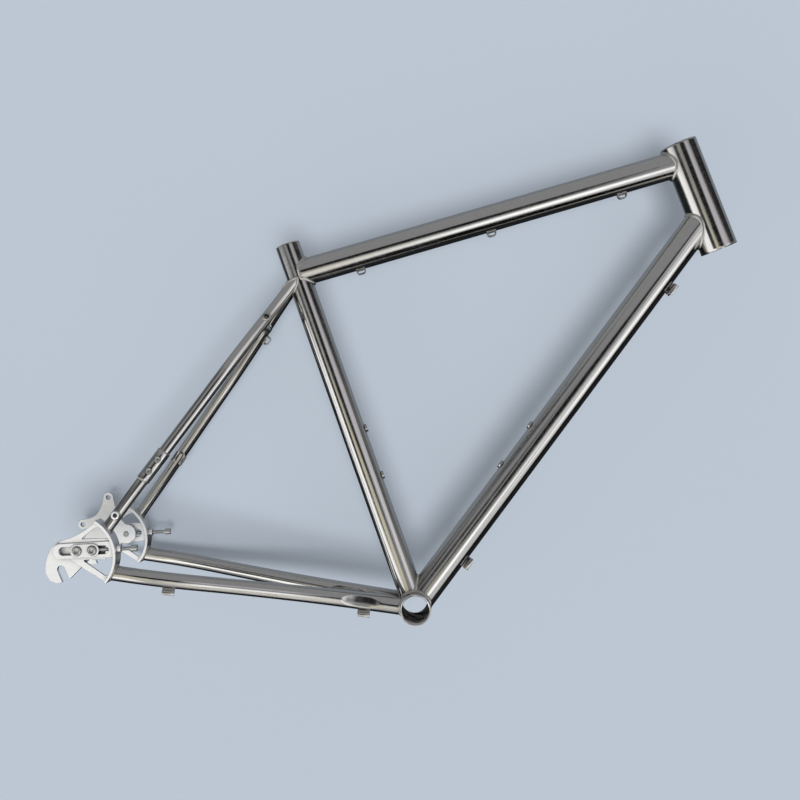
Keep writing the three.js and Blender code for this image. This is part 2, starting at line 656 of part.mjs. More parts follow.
function makeFittings() {
  const made = [];
  const names = ["upper", "lower"];
  SEAT_TUBE_BOSSES.forEach((distance, i) => {
    const boss = bottleBoss(`bottle_boss_seat_${names[i]}`, SEAT_TUBE.radius);
    made.push(stand(boss, seatAxis.clone().multiplyScalar(distance), seatAxis, seatFront));
  });
  DOWN_TUBE_BOSSES.forEach((distance, i) => {
    const boss = bottleBoss(`bottle_boss_down_${names[i]}`, DOWN_TUBE.radius);
    made.push(stand(boss, downTubeAxis.clone().multiplyScalar(distance), downTubeAxis, downTubeUp));
  });
  HOSE_LOOPS.forEach((distance, i) => {
    const loop = hoseLoop(`hose_loop_${["front", "middle", "rear"][i]}`, TOP_TUBE.radius);
    const origin = topTubeRear.clone().addScaledVector(topTubeAxis, distance);
    made.push(stand(loop, origin, topTubeAxis, topTubeDown));
  });
  DOWN_TUBE_GUIDES.forEach((distance, i) => {
    const guide = cableGuide(`cable_guide_down_${names[i]}`, DOWN_TUBE.radius);
    const origin = downTubeAxis.clone().multiplyScalar(distance);
    made.push(stand(guide, origin, downTubeAxis, downTubeUp.clone().negate()));
  });
  return made;
}

function makeStayFittings() {
  const chain = chainStayLine(RIGHT);
  const made = CHAIN_STAY_GUIDES.map((share, i) => {
    const guide = cableGuide(`cable_guide_chainstay_${["front", "rear"][i]}`, chainStayRadius(share));
    return stand(guide, chain.path.getPointAt(share), chain.path.getTangentAt(share).negate(), at(0, 0, -1));
  });
  const seat = seatStayLine(LEFT);
  const guide = cableGuide("hose_guide_seatstay", SEAT_STAY.radius);
  made.push(stand(guide, seat.path.getPointAt(0.25), seat.path.getTangentAt(0.25), at(0.2, -1, 0)));
  const loop = hoseLoop("hose_loop_seatstay", SEAT_STAY.radius);
  made.push(stand(loop, seat.path.getPointAt(0.757), seat.path.getTangentAt(0.757), at(0.7, 0.1, -0.7)));
  for (const side of [RIGHT, LEFT]) {
    made.push(sideBoss(`rack_boss_${sideName(side)}`, side, RACK_BOSS));
    made.push(sideBoss(`fender_eyelet_${sideName(side)}`, side, EYELET));
  }
  return made;
}

// ---- The frame -------------------------------------------------------------------------------

const frame = new THREE.Group();
frame.name = "bicycle_frame";
frame.add(makeBottomBracketShell(), makeHeadTube(), makeSeatTube(), makeTopTube(), makeDownTube());
frame.add(makeChainStay(RIGHT), makeChainStay(LEFT), makeLeftSeatStay());
frame.add(...makeRightSeatStays());
frame.add(makeBridge("chainstay_bridge", CHAIN_BRIDGE, chainStayLine, chainStayRadius, 25));
frame.add(makeBridge("seatstay_bridge", SEAT_BRIDGE, seatStayLine, seatStayRadius, 27));
frame.add(makeSplitterHalf(true), makeSplitterHalf(false));
frame.add(makeSplitterBolt("splitter_bolt_lower", SPLITTER.boltAt[0]));
frame.add(makeSplitterBolt("splitter_bolt_upper", SPLITTER.boltAt[1]));
for (const side of [RIGHT, LEFT]) {
  frame.add(makeDropout(side), makeSlider(side), makeClampPlate(side));
  frame.add(makeSliderBolt(side, 0), makeSliderBolt(side, 1));
  frame.add(makeAdjusterScrew(side), makeAdjusterNut(side));
}
frame.add(...makeFittings(), ...makeStayFittings());

const limits = new THREE.Box3().setFromObject(frame, true);
const underside = limits.getCenter(at(0, 0, 0)).setZ(limits.min.z);
frame.position.copy(underside.negate());

export default frame;
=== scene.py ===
"""The looks of a bicycle frame: welded titanium tubes, sliding dropouts and a belt splitter.

Sizes are millimetres from the centre of the bottom bracket shell, +X forward, +Y to the rider's
left and +Z up, as in the CAD. Only `Shape.made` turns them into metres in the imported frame.
"""

import math
from functools import partial

import bmesh
import bpy
import numpy as np
from mathutils import Matrix, Vector
from mathutils.geometry import tessellate_polygon


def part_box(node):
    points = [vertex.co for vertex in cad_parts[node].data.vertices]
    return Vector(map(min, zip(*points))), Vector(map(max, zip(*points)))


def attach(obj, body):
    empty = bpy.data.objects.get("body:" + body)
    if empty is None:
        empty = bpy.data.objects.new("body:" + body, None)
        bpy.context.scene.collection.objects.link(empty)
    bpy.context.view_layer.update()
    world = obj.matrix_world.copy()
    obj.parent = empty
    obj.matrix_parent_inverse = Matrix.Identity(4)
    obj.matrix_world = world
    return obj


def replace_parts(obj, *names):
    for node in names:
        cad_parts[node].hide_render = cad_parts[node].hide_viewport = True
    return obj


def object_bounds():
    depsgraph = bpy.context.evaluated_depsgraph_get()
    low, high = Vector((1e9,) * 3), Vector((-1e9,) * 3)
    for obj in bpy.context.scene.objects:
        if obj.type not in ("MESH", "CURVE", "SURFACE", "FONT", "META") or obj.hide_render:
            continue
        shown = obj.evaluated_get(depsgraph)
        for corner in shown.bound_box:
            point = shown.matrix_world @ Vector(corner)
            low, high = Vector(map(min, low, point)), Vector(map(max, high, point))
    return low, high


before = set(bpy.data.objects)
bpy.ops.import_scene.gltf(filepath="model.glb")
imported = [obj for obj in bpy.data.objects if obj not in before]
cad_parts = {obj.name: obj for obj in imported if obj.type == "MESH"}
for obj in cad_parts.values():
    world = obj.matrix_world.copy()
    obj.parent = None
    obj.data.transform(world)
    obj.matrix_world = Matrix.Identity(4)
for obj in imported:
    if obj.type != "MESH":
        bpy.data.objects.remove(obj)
CAD_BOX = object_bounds()

# ---- Driving dimensions ----------------------------------------------------------------------

X, Y, Z = np.eye(3)
RIGHT, LEFT = -1, 1
SIDES = {RIGHT: "right", LEFT: "left"}
MM = 0.001


def corners(node):
    """Lowest and highest corner of a CAD node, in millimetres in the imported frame."""
    return [np.array(corner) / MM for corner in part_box(node)]


ORIGIN = sum(corners("bb_shell")) / 2


def middle(node):
    return sum(corners(node)) / 2 - ORIGIN


def unit(vector):
    vector = np.asarray(vector, float)
    return vector / np.linalg.norm(vector)


def leaning(degrees):
    angle = math.radians(degrees)
    return np.array([-math.cos(angle), 0, math.sin(angle)])


SEAT_AXIS = leaning(73)
HEAD_AXIS = leaning(71)
SHELL_RADIUS, SHELL_BORE, SHELL_HALF = 20, 17.2, 34
SEAT_RADIUS, SEAT_BORE, SEAT_LENGTH = 15.9, 13.6, 496
SLIT_WIDTH, SLIT_LENGTH = 2.6, 32
HEAD_RADIUS, HEAD_BORE, HEAD_LENGTH = 23.8, 22, 146.7
HEAD_FOOT = np.array([415.3, 0, 444.2])
TOP_RADIUS, TOP_REAR, TOP_FRONT, TOP_CHEEK = 17.45, 455.8, 122.2, 4
DOWN_RADIUS, DOWN_FRONT = 19.05, 48.9
CHAIN_FRONT_RADIUS, CHAIN_REAR_RADIUS = 11, 9.5
CHAIN_END = np.array([-366, 0, 70.5])
CHAIN_BENDS = [[0, 22.5], [61, 25.2], [117, 31.5], [209, 50], [249.5, 59.5], [295, 70.5], [336, 76.3],
               [372.7, 77]]
STAY_RADIUS = 7.15
STAY_FOOT = np.array([-371.8, 0, 126.2])
STAY_TOP = 451.4 * SEAT_AXIS
STAY_BENDS = [[0, 77], [60, 72], [125, 62], [190, 52.5], [240, 46], [290, 33.5], [340, 17.4], [388.3, 8.2]]
BRIDGE_RADIUS = 6.35
TUBE_WALL, STAY_WALL = 0.95, 0.9
# A dent is its place along the stay, half its length, its depth and the radius of its crown.
DENTS = {RIGHT: (70, 25, 2.3, 60), LEFT: (87, 23, 2.0, 60)}
DENT_LEAN, DENT_SOFTNESS = 0.09, 0.4

HOOD_X, HOOD_Z, HOOD_RADIUS, HOOD_WALL = -411.3, 94, 51, 3.5
HOOD_TOP, HOOD_BOTTOM, HOOD_INNER, HOOD_OUTER = 57, -42, 64.5, 89.5
PLATE_INNER, PLATE_STRUT, PLATE_OUTER = 74, 78.5, 81
ARM_Z, ARM_HALF, ARM_REAR = 100, 9.2, -430
SLOT_REAR, SLOT_FRONT, SLOT_HALF = -431.8, -370.7, 5.25
AXLE_X, AXLE_Z, AXLE_HALF, AXLE_TILT = -432, 77, 5, 20
HUB_FACE = 67.5
SLIDER_BOLTS = [-390.3, -408.7]
TONGUE_REAR, TONGUE_FRONT, TONGUE_HALF, TONGUE_OUTER = -414.5, -384.5, 5.1, 80.5
CLAMP_HALF, CLAMP_THICK = 17.5, 2.5
SCREW_Y, SCREW_Z, SCREW_RADIUS = 77.5, 100, 2.5
SCREW_HEAD_RADIUS, SCREW_HEAD_LENGTH = 4.1, 7.1
DISC_UPPER, DISC_LOWER, DISC_EAR, DISC_HOLE = (-412.3, 150.9), (-448.5, 115.6), 6.6, 3.1
SPLIT_RADIUS, SPLIT_COLLAR, SPLIT_BOLTS, SPLIT_HALF = 8.4, 4.5, [13, 30.5], 21
BOLT_PITCH = 0.8

TUBE_SIDES, STAY_SIDES, BOLT_SIDES = 96, 72, 48
RUNNING = 0.15
TURN = 2 * math.pi


# ---- Meshes ----------------------------------------------------------------------------------

class Shape:
    """Points and faces in millimetres, with a grain coordinate in metres at each face corner."""

    def __init__(self):
        self.points, self.faces, self.grain, self.count = [], [], [], 0

    def skin(self, rows, along=False):
        """Quads over rows of points that are closed loops. `along` joins the last row to the first."""
        rows = np.asarray(rows, float)
        closed = np.concatenate([rows, rows[:1]]) if along else rows
        closed = np.concatenate([closed, closed[:, :1]], axis=1)
        index = np.arange(rows.shape[0] * rows.shape[1]).reshape(rows.shape[:2]) + self.count
        index = np.concatenate([index, index[:1]]) if along else index
        index = np.concatenate([index, index[:, :1]], axis=1)
        step = np.linalg.norm(np.diff(closed, axis=0), axis=2).mean(axis=1)
        turn = np.linalg.norm(np.diff(closed, axis=1), axis=2).mean(axis=0)
        u = np.concatenate([[0], np.cumsum(step)]) * MM
        v = np.concatenate([[0], np.cumsum(turn)]) * MM
        uv = np.stack(np.meshgrid(u, v, indexing="ij"), axis=-1)
        corner = [(slice(None, -1), slice(None, -1)), (slice(None, -1), slice(1, None))]
        corner += [(slice(1, None), slice(1, None)), (slice(1, None), slice(None, -1))]
        self.faces += np.stack([index[c] for c in corner], axis=-1).reshape(-1, 4).tolist()
        self.grain += np.stack([uv[c] for c in corner], axis=-2).reshape(-1, 2).tolist()
        self.points += rows.reshape(-1, 3).tolist()
        self.count = len(self.points)
        return index

    def face(self, indices):
        self.faces.append([int(i) for i in indices])
        self.grain += [[self.points[i][0] * MM, self.points[i][2] * MM] for i in self.faces[-1]]

    def made(self, name):
        """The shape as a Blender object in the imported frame."""
        mesh = bpy.data.meshes.new(name)
        mesh.from_pydata(((np.array(self.points) + ORIGIN) * MM).tolist(), [], self.faces)
        mesh.uv_layers.new(name="grain").data.foreach_set("uv", np.ravel(self.grain))
        edit = bmesh.new()
        edit.from_mesh(mesh)
        bmesh.ops.remove_doubles(edit, verts=edit.verts, dist=2e-6)
        bmesh.ops.dissolve_degenerate(edit, edges=edit.edges, dist=1e-7)
        bmesh.ops.recalc_face_normals(edit, faces=edit.faces)
        edit.to_mesh(mesh)
        edit.free()
        made = bpy.data.objects.new(name, mesh)
        bpy.context.scene.collection.objects.link(made)
        return made


def combine(target, other, operation="DIFFERENCE"):
    """Cuts `other` from `target`, or joins or intersects them, and deletes `other`."""
    modifier = target.modifiers.new("combine", "BOOLEAN")
    modifier.operation = operation
    modifier.solver = "MANIFOLD"
    modifier.object = other
    graph = bpy.context.evaluated_depsgraph_get()
    mesh = bpy.data.meshes.new_from_object(target.evaluated_get(graph))
    if not mesh.polygons:
        raise ValueError(f"nothing is left of {target.name} after {other.name}")
    target.modifiers.clear()
    target.data = mesh
    bpy.data.objects.remove(other)
    return target


def dress(piece, material, body="frame", sharp=34):
    """Shades a finished piece and gives it its material and body."""
    mesh = piece.data
    mesh.shade_smooth()
    mesh.set_sharp_from_angle(angle=math.radians(sharp))
    mesh.materials.clear()
    mesh.materials.append(MATERIALS[material])
    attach(piece, body)
    return piece


def stand_in(piece, node, material="titanium", body="frame", sharp=34):
    """Finishes a shape or a made piece that stands for a CAD node, which it hides."""
    piece = piece.made(f"{node}_fine") if isinstance(piece, Shape) else piece
    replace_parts(dress(piece, material, body, sharp), node)


def weld(shape, name):
    dress(shape.made(f"weld_{name}"), "weld")


def perpendicular(along):
    """Two directions square to `along` and to each other."""
    helper = X if abs(along[0]) < 0.6 else Z
    first = unit(np.cross(helper, along))
    return first, np.cross(along, first)


def turned(profile, start, along, sides=BOLT_SIDES, ring=False):
    """A solid of revolution. Each profile row is a distance and a radius, or one radius per side."""
    shape = Shape()
    along = unit(along)
    first, second = perpendicular(along)
    angle = np.arange(sides) * TURN / sides
    spokes = np.outer(np.cos(angle), first) + np.outer(np.sin(angle), second)
    rows = [start + distance * along + np.reshape(radius * np.ones(sides), (-1, 1)) * spokes
            for distance, radius in profile]
    index = shape.skin(rows, along=ring)
    if not ring:
        shape.face(index[0, :-1])
        shape.face(index[-1, :-1])
    return shape


def hexagon(half_flats, sides=BOLT_SIDES):
    """Radii of a hexagon, for a hexagon socket or head."""
    angle = np.arange(sides) * TURN / sides
    return half_flats / np.cos(angle % (TURN / 6) - TURN / 12)


def thread(start, end, radius, depth, pitch=BOLT_PITCH, sides=BOLT_SIDES, steps=6):
    """Profile rows of a screw thread, cut to `depth` below (or with a negative depth above) `radius`."""
    count = max(2, round(abs(end - start) / pitch * steps))
    turn = np.arange(sides) / sides
    rows = []
    for distance in np.linspace(start, end, count):
        phase = (distance / pitch - turn) % 1
        fade = min(1, abs(distance - start) / pitch, abs(end - distance) / pitch)
        rows.append((distance, radius - fade * depth * (1 - abs(2 * phase - 1))))
    return rows


def area(loop):
    x, z = np.asarray(loop).T
    return 0.5 * np.sum(x * np.roll(z, -1) - z * np.roll(x, -1))


def inset(loop, amount):
    """Moves a closed outline to its left, where its material is."""
    def left(edge):
        return np.stack([-edge[:, 1], edge[:, 0]], axis=1) / np.linalg.norm(edge, axis=1)[:, None]

    before = left(loop - np.roll(loop, 1, axis=0))
    after = left(np.roll(loop, -1, axis=0) - loop)
    middle_way = before + after
    middle_way /= np.maximum(np.linalg.norm(middle_way, axis=1), 1e-6)[:, None]
    reach = amount / np.maximum(np.sum(middle_way * before, axis=1), 0.5)
    return loop + middle_way * reach[:, None]


def tidy_loop(loop, clockwise=False):
    """Drops repeated points and turns the outline the right way round."""
    loop = np.array(loop, float)
    loop = loop[np.linalg.norm(loop - np.roll(loop, 1, axis=0), axis=1) > 0.02]
    return loop if (area(loop) < 0) == clockwise else loop[::-1]


def slab(outline, low, high, holes=(), bevel=0.5, centre=(0, 0, 0), u=X, v=Z, w=Y):
    """A plate with rounded edges. The outline is in u and v, and the thickness along w."""
    shape = Shape()
    loops = [tidy_loop(outline)] + [tidy_loop(hole, clockwise=True) for hole in holes]
    bend = np.linspace(0, math.pi / 2, 4)
    levels = [(0, bevel + 0.06)] + [(bevel * (1 - math.cos(a)), bevel * (1 - math.sin(a))) for a in bend]
    rows = [(low + depth, draw) for depth, draw in levels]
    rows += [(high - depth, draw) for depth, draw in reversed(levels)]
    ends = [[], []]
    for loop in loops:
        placed = []
        for height, draw in rows:
            flat = inset(loop, draw)
            placed.append(np.asarray(centre) + flat[:, :1] * u + flat[:, 1:] * v + height * np.asarray(w))
        index = shape.skin(placed)
        ends[0].append(index[0, :-1])
        ends[1].append(index[-1, :-1])
    flat_loops = [[Vector((*p, 0)) for p in inset(loop, bevel + 0.06)] for loop in loops]
    triangles = tessellate_polygon(flat_loops)
    for end in ends:
        numbers = np.concatenate(end)
        for triangle in triangles:
            shape.face(numbers[list(triangle)])
    return shape


def arc(x, z, radius, start, end, step=4):
    """Points of an arc, from one angle to the other in degrees."""
    count = max(2, round(abs(end - start) / step)) + 1
    angle = np.radians(np.linspace(start, end, count))
    return [(x + radius * math.cos(a), z + radius * math.sin(a)) for a in angle]


def bow(start, control, end, count=12):
    """Points of a curve that leaves start towards control and arrives at end from it."""
    start, control, end = (np.array(p, float) for p in (start, control, end))
    share = np.linspace(0, 1, count)[:, None]
    return ((1 - share) ** 2 * start + 2 * share * (1 - share) * control + share**2 * end).tolist()


def obround(rear, front, z, half):
    return arc(rear + half, z, half, 90, 270) + arc(front - half, z, half, -90, 90)


def through(points):
    """A smooth function through [distance, offset] points."""
    x, y = np.array(points, float).T
    slope = np.gradient(y, x)

    def curve(distance):
        i = np.clip(np.searchsorted(x, distance, side="right") - 1, 0, len(x) - 2)
        width = x[i + 1] - x[i]
        t = (distance - x[i]) / width
        value = (2 * t**3 - 3 * t**2 + 1) * y[i] + (t**3 - 2 * t**2 + t) * width * slope[i]
        return value + (3 * t**2 - 2 * t**3) * y[i + 1] + (t**3 - t**2) * width * slope[i + 1]

    return curve


# ---- Pipes and beads -------------------------------------------------------------------------

RIPPLE_STEPS, HALVINGS = 7, 34

class Pipe:
    """A round tube, straight or bent sideways. Its distances run along the straight line."""

    def __init__(self, start, end, radius, wall, bend=None, dent=None):
        self.start, self.wall, self.bend, self.dent = np.asarray(start, float), wall, bend, dent
        self.length = np.linalg.norm(end - self.start)
        self.along = (end - self.start) / self.length
        self.square = Z if abs(self.along[1]) > 0.9 else np.array([-self.along[2], 0, self.along[0]])
        self.size = radius

    def radius(self, s):
        return self.size(s / self.length) if callable(self.size) else self.size + 0 * np.asarray(s, float)

    def centre(self, s):
        point = self.start + np.multiply.outer(s, self.along)
        return point + np.multiply.outer(self.bend(s), Y) if self.bend else point

    def axes(self, s):
        """The direction along the tube and the one out of its side, at each distance."""
        along = np.broadcast_to(self.along, (*np.shape(s), 3)).copy()
        if self.bend:
            along += np.multiply.outer((self.bend(s + 0.5) - self.bend(s - 0.5)), Y)
            along /= np.linalg.norm(along, axis=-1)[..., None]
        out = np.cross(along, self.square)
        return along, out / np.linalg.norm(out, axis=-1)[..., None]

    def skin(self, s, angle, depth=0.0):
        _, out = self.axes(s)
        radius = self.radius(s) - depth
        reach = radius * np.cos(angle)
        if self.dent:
            place, half, deep, crown = self.dent
            low = radius * np.sin(angle)
            floor = radius - deep * (1 - abs((s - place) / half) ** 3)
            floor = floor - low**2 / (2 * crown) + DENT_LEAN * low
            blend = np.clip(0.5 + (floor - reach) / DENT_SOFTNESS, 0, 1)
            pressed = floor + (reach - floor) * blend - 0.5 * DENT_SOFTNESS * blend * (1 - blend)
            reach = np.where((abs(s - place) < half * 1.2) & (np.cos(angle) > 0), pressed, reach)
        return self.centre(s) + reach[..., None] * out + (radius * np.sin(angle))[..., None] * self.square

    def outward(self, s, angle):
        _, out = self.axes(s)
        return np.cos(angle)[..., None] * out + np.sin(angle)[..., None] * self.square

    def away(self, points):
        """Distance of points from the skin of a straight tube, and the direction away from it."""
        offset = points - self.start
        offset = offset - (offset @ self.along)[..., None] * self.along
        reach = np.linalg.norm(offset, axis=-1)
        return reach - self.size, offset / reach[..., None]

    def near(self, point):
        """The distance along the tube that is closest to a point."""
        s = np.linspace(0, self.length, 4000)
        return s[np.argmin(np.linalg.norm(self.centre(s) - point, axis=1))]

    def straight_at(self, s):
        """The straight tube that touches this one at a distance."""
        along, _ = self.axes(s)
        point = self.centre(s)
        return Pipe(point - 60 * along, point + 60 * along, float(self.radius(s)), self.wall)


def trim(pipe, inside, outside, neighbours, angle):
    """How far along the pipe each line of its skin comes clear of the neighbours."""
    low, high = np.full(angle.shape, float(inside)), np.full(angle.shape, float(outside))
    for _ in range(HALVINGS):
        between = (low + high) / 2
        points = pipe.skin(between, angle)
        clear = np.min([n.away(points)[0] for n in neighbours], axis=0) > 0
        high, low = np.where(clear, between, high), np.where(clear, low, between)
    return high


def shares(count, dense=None):
    """Shares of a length, closer together near both ends and in a dense stretch."""
    even = np.linspace(0, 1, count)
    made = 0.5 - 0.5 * np.cos(np.pi * even) * (1 - 0.5 * np.sin(np.pi * even) ** 2)
    if dense:
        made = np.concatenate([made, np.linspace(*dense, 70)])
    return np.unique(np.round(np.clip(made, 0, 1), 5))


def hollow(pipe, start, end, rows, sides=TUBE_SIDES, open_end=False):
    """The skin of a hollow tube between two trimmed ends. An open end is cut square and softened."""
    angle = np.arange(sides) * TURN / sides
    start, end = start(angle), end(angle)
    wall, soft = pipe.wall, 0.35
    outside = [(share, 0, 0) for share in rows]
    inside = [(share, 0, wall) for share in rows[::-1]]
    if open_end:
        outside[-1:] = [(1, -soft, 0), (1, -soft * 0.3, soft * 0.3), (1, 0, soft)]
        inside[:1] = [(1, 0, wall - soft), (1, -soft, wall)]
    shape = Shape()
    shape.skin([pipe.skin(start + (end - start) * share + shift, angle, depth)
                for share, shift, depth in outside + inside], along=True)
    return shape


def bead(pipe, inside, outside, neighbours, width=2.7, rise=0.75, pitch=1.9):
    """A weld between a pipe's mitred end and its neighbours: a fillet with a fish-scale ripple."""
    coarse = np.linspace(0, TURN, 120)
    rough = trim(pipe, inside, outside, neighbours, coarse)
    span = np.linalg.norm(np.diff(pipe.skin(rough, coarse), axis=0), axis=1).sum()
    count = int(span / pitch) * RIPPLE_STEPS
    angle = np.arange(count) * TURN / count
    s = trim(pipe, inside, outside, neighbours, angle)
    on_pipe, up_pipe = pipe.skin(s, angle), pipe.outward(s, angle)
    gaps, ways = zip(*[n.away(on_pipe) for n in neighbours])
    nearest = np.argmin(gaps, axis=0)
    pick = (nearest, np.arange(count))
    gap, up_other = np.array(gaps)[pick], np.array(ways)[pick]
    on_other = on_pipe - np.maximum(gap, 0)[:, None] * up_other
    return fillet(on_pipe, up_pipe, on_other, up_other, width, rise, pitch)


def fillet(on_pipe, up_pipe, on_other, up_other, width, rise, pitch):
    """Sweeps a bead between two skins along a closed seam."""
    def normal(v):
        return v / np.maximum(np.linalg.norm(v, axis=-1), 1e-9)[..., None]

    count = len(on_pipe)
    travel = normal(np.roll(on_pipe, -2, axis=0) - np.roll(on_pipe, 2, axis=0))
    run_pipe, run_other = normal(np.cross(travel, up_pipe)), normal(np.cross(travel, up_other))
    run_pipe *= np.sign(np.sum(run_pipe * up_other, axis=1) + 1e-9)[:, None]
    run_other *= np.sign(np.sum(run_other * up_pipe, axis=1) + 1e-9)[:, None]
    out = normal(up_pipe + up_other)
    ripple = np.arange(count) / count * round(count / RIPPLE_STEPS)
    rows = []
    for share in np.linspace(0, 1, 9):
        crescent = (ripple + 0.55 * (2 * share - 1) ** 2) % 1
        scale = 0.78 + 0.22 * np.sqrt(np.clip(1 - crescent, 0, 1)) * np.clip(crescent / 0.18, 0, 1)
        toe_pipe = on_pipe + run_pipe * (width * scale)[:, None] - 0.12 * up_pipe
        toe_other = on_other + run_other * (width * scale)[:, None] - 0.12 * up_other
        lift = rise * scale * math.sin(math.pi * share)
        rows.append(toe_pipe * (1 - share) + toe_other * share + out * lift[:, None])
    rows.append(on_other - 0.5 * up_other - 0.3 * up_pipe)
    rows.append(on_pipe - 0.5 * up_pipe - 0.3 * up_other)
    shape = Shape()
    shape.skin(np.stack(rows), along=True)
    return shape


def ring_bead(centre, along, radius, width=1.5, rise=0.5, pitch=1.4):
    """A bead round a straight, square-cut joint or fitting on a nearly flat surface."""
    first, second = perpendicular(unit(along))
    count = int(TURN * radius / pitch) * RIPPLE_STEPS
    angle = np.arange(count) * TURN / count
    spoke = np.outer(np.cos(angle), first) + np.outer(np.sin(angle), second)
    seam = centre + radius * spoke
    return fillet(seam, spoke, seam, np.broadcast_to(unit(along), seam.shape), width, rise, pitch)


# ---- Materials -------------------------------------------------------------------------------

class Nodes:
    """Short names for making and joining shader nodes."""

    def __init__(self, owner):
        owner.use_nodes = True
        self.tree = owner.node_tree
        self.tree.nodes.clear()

    def add(self, kind, inputs=None, **settings):
        node = self.tree.nodes.new(kind)
        for name, value in settings.items():
            setattr(node, name, value)
        for name, value in (inputs or {}).items():
            if isinstance(value, bpy.types.NodeSocket):
                self.tree.links.new(value, node.inputs[name])
            else:
                node.inputs[name].default_value = value
        return node

    def math(self, operation, *values):
        node = self.add("ShaderNodeMath", operation=operation)
        for socket, value in zip(node.inputs, values):
            if isinstance(value, bpy.types.NodeSocket):
                self.tree.links.new(value, socket)
            else:
                socket.default_value = value
        return node.outputs[0]

    def noise(self, vector, scale, detail=2.0, roughness=0.5):
        inputs = {"Vector": vector, "Scale": scale, "Detail": detail, "Roughness": roughness}
        return self.add("ShaderNodeTexNoise", inputs).outputs["Fac"]

    def remap(self, value, low, high, from_low=0.3, from_high=0.7):
        inputs = {"Value": value, "From Min": from_low, "From Max": from_high, "To Min": low, "To Max": high}
        return self.add("ShaderNodeMapRange", inputs).outputs["Result"]

    def mix(self, factor, first, second, **settings):
        inputs = {0: factor, 6: first, 7: second}
        return self.add("ShaderNodeMix", inputs, data_type="RGBA", **settings).outputs[2]

    def stretch(self, vector, scale):
        return self.add("ShaderNodeMapping", {"Vector": vector, "Scale": scale}).outputs["Vector"]


def metal(name, colour, roughness, grain=(0, 0), grain_depth=0.0, pits=0.0, anisotropic=0.0,
          painted_corner_shade=None, matt=0):
    """A bare metal. Grain is scratches per metre along and around the piece, and pits a blasted skin.

    Painted corner shade is how much darker the colour is painted in corners, as shade, and how far apart
    their sides are in metres. Matt is the share of the light that scatters where the metal is seen face on.
    """
    material = bpy.data.materials.new(name)
    nodes = Nodes(material)
    place = nodes.add("ShaderNodeTexCoord").outputs["Object"]
    cloud = nodes.noise(place, 38.0, 3.0)
    patches = nodes.noise(place, 210.0, 4.0, 0.6)
    rough = nodes.math("ADD", nodes.remap(cloud, -0.025, 0.03), nodes.remap(patches, -0.02, 0.02))
    rough = nodes.math("ADD", rough, roughness)
    darker = (*[c * 0.93 for c in colour], 1)
    shade = nodes.mix(nodes.remap(patches, 0, 1), darker, (*colour, 1))
    # Ambient occlusion darkens the base colour in corners and between parts: painted shade.
    if painted_corner_shade:
        corner = nodes.add("ShaderNodeAmbientOcclusion", {"Distance": painted_corner_shade[1]}, samples=5).outputs["AO"]
        shade = nodes.mix(1, shade, nodes.remap(corner, 1 - painted_corner_shade[0], 1, 0.2, 0.85), blend_type="MULTIPLY")
    inputs = {"Base Color": shade, "Metallic": 1.0, "Anisotropic": anisotropic}
    if matt:
        edge_on = nodes.add("ShaderNodeLayerWeight", {"Blend": 0.5}).outputs["Facing"]
        inputs["Metallic"] = nodes.remap(edge_on, 1 - matt, 1, 0.1, 0.45)
    heights = []
    if grain_depth:
        uv = nodes.add("ShaderNodeUVMap", uv_map="grain").outputs["UV"]
        hairs = nodes.noise(nodes.stretch(uv, (grain[0], grain[1], 1)), 1.0, 3.0, 0.6)
        bands = nodes.noise(nodes.stretch(uv, (grain[0] / 9, grain[1] / 4, 1)), 1.0, 2.0)
        rough = nodes.math("ADD", rough, nodes.remap(hairs, -0.04, 0.05))
        rough = nodes.math("ADD", rough, nodes.remap(bands, -0.03, 0.03))
        heights.append(nodes.math("MULTIPLY", hairs, grain_depth))
        tangent = nodes.add("ShaderNodeTangent", direction_type="UV_MAP", uv_map="grain")
        inputs["Tangent"] = tangent.outputs[0]
    if pits:
        heights.append(nodes.math("MULTIPLY", nodes.noise(place, 2600.0, 2.0), pits))
    if heights:
        height = nodes.math("ADD", *heights) if heights[1:] else heights[0]
        bump = nodes.add("ShaderNodeBump", {"Height": height, "Strength": 1.0, "Distance": 0.001})
        inputs["Normal"] = bump.outputs["Normal"]
    inputs["Roughness"] = rough
    shader = nodes.add("ShaderNodeBsdfPrincipled", inputs)
    nodes.add("ShaderNodeOutputMaterial", {"Surface": shader.outputs["BSDF"]})
    return material


# Each metal's corners are darkened in its colour as painted shade.
MATERIALS = {
    "titanium": metal("brushed_titanium", (0.68, 0.665, 0.635), 0.115, (5200, 90), 0.005,
                      anisotropic=0.6, painted_corner_shade=(0.8, 0.034)),
    "machined": metal("blasted_titanium", (0.93, 0.935, 0.94), 0.36, pits=0.006,
                      painted_corner_shade=(0.92, 0.008), matt=0.5),
    "steel": metal("stainless_steel", (0.78, 0.79, 0.80), 0.24, pits=0.004, painted_corner_shade=(0.75, 0.0025)),
    "weld": metal("weld_titanium", (0.70, 0.68, 0.64), 0.22, pits=0.015),
}


# ---- Main tubes ------------------------------------------------------------------------------

SEAT_TOP = SEAT_LENGTH * SEAT_AXIS
HEAD_TOP = HEAD_FOOT + HEAD_LENGTH * HEAD_AXIS
SHELL = Pipe(-60 * Y, 60 * Y, SHELL_RADIUS, 2.8)
SEAT = Pipe(np.zeros(3), SEAT_TOP, SEAT_RADIUS, SEAT_RADIUS - SEAT_BORE)
HEAD = Pipe(HEAD_FOOT, HEAD_TOP, HEAD_RADIUS, HEAD_RADIUS - HEAD_BORE)
TOP = Pipe(TOP_REAR * SEAT_AXIS, HEAD_FOOT + TOP_FRONT * HEAD_AXIS, TOP_RADIUS, TUBE_WALL)
DOWN = Pipe(np.zeros(3), HEAD_FOOT + DOWN_FRONT * HEAD_AXIS, DOWN_RADIUS, TUBE_WALL)
HOOD = Pipe(np.array([HOOD_X, -100, HOOD_Z]), np.array([HOOD_X, 100, HOOD_Z]), HOOD_RADIUS, HOOD_WALL)


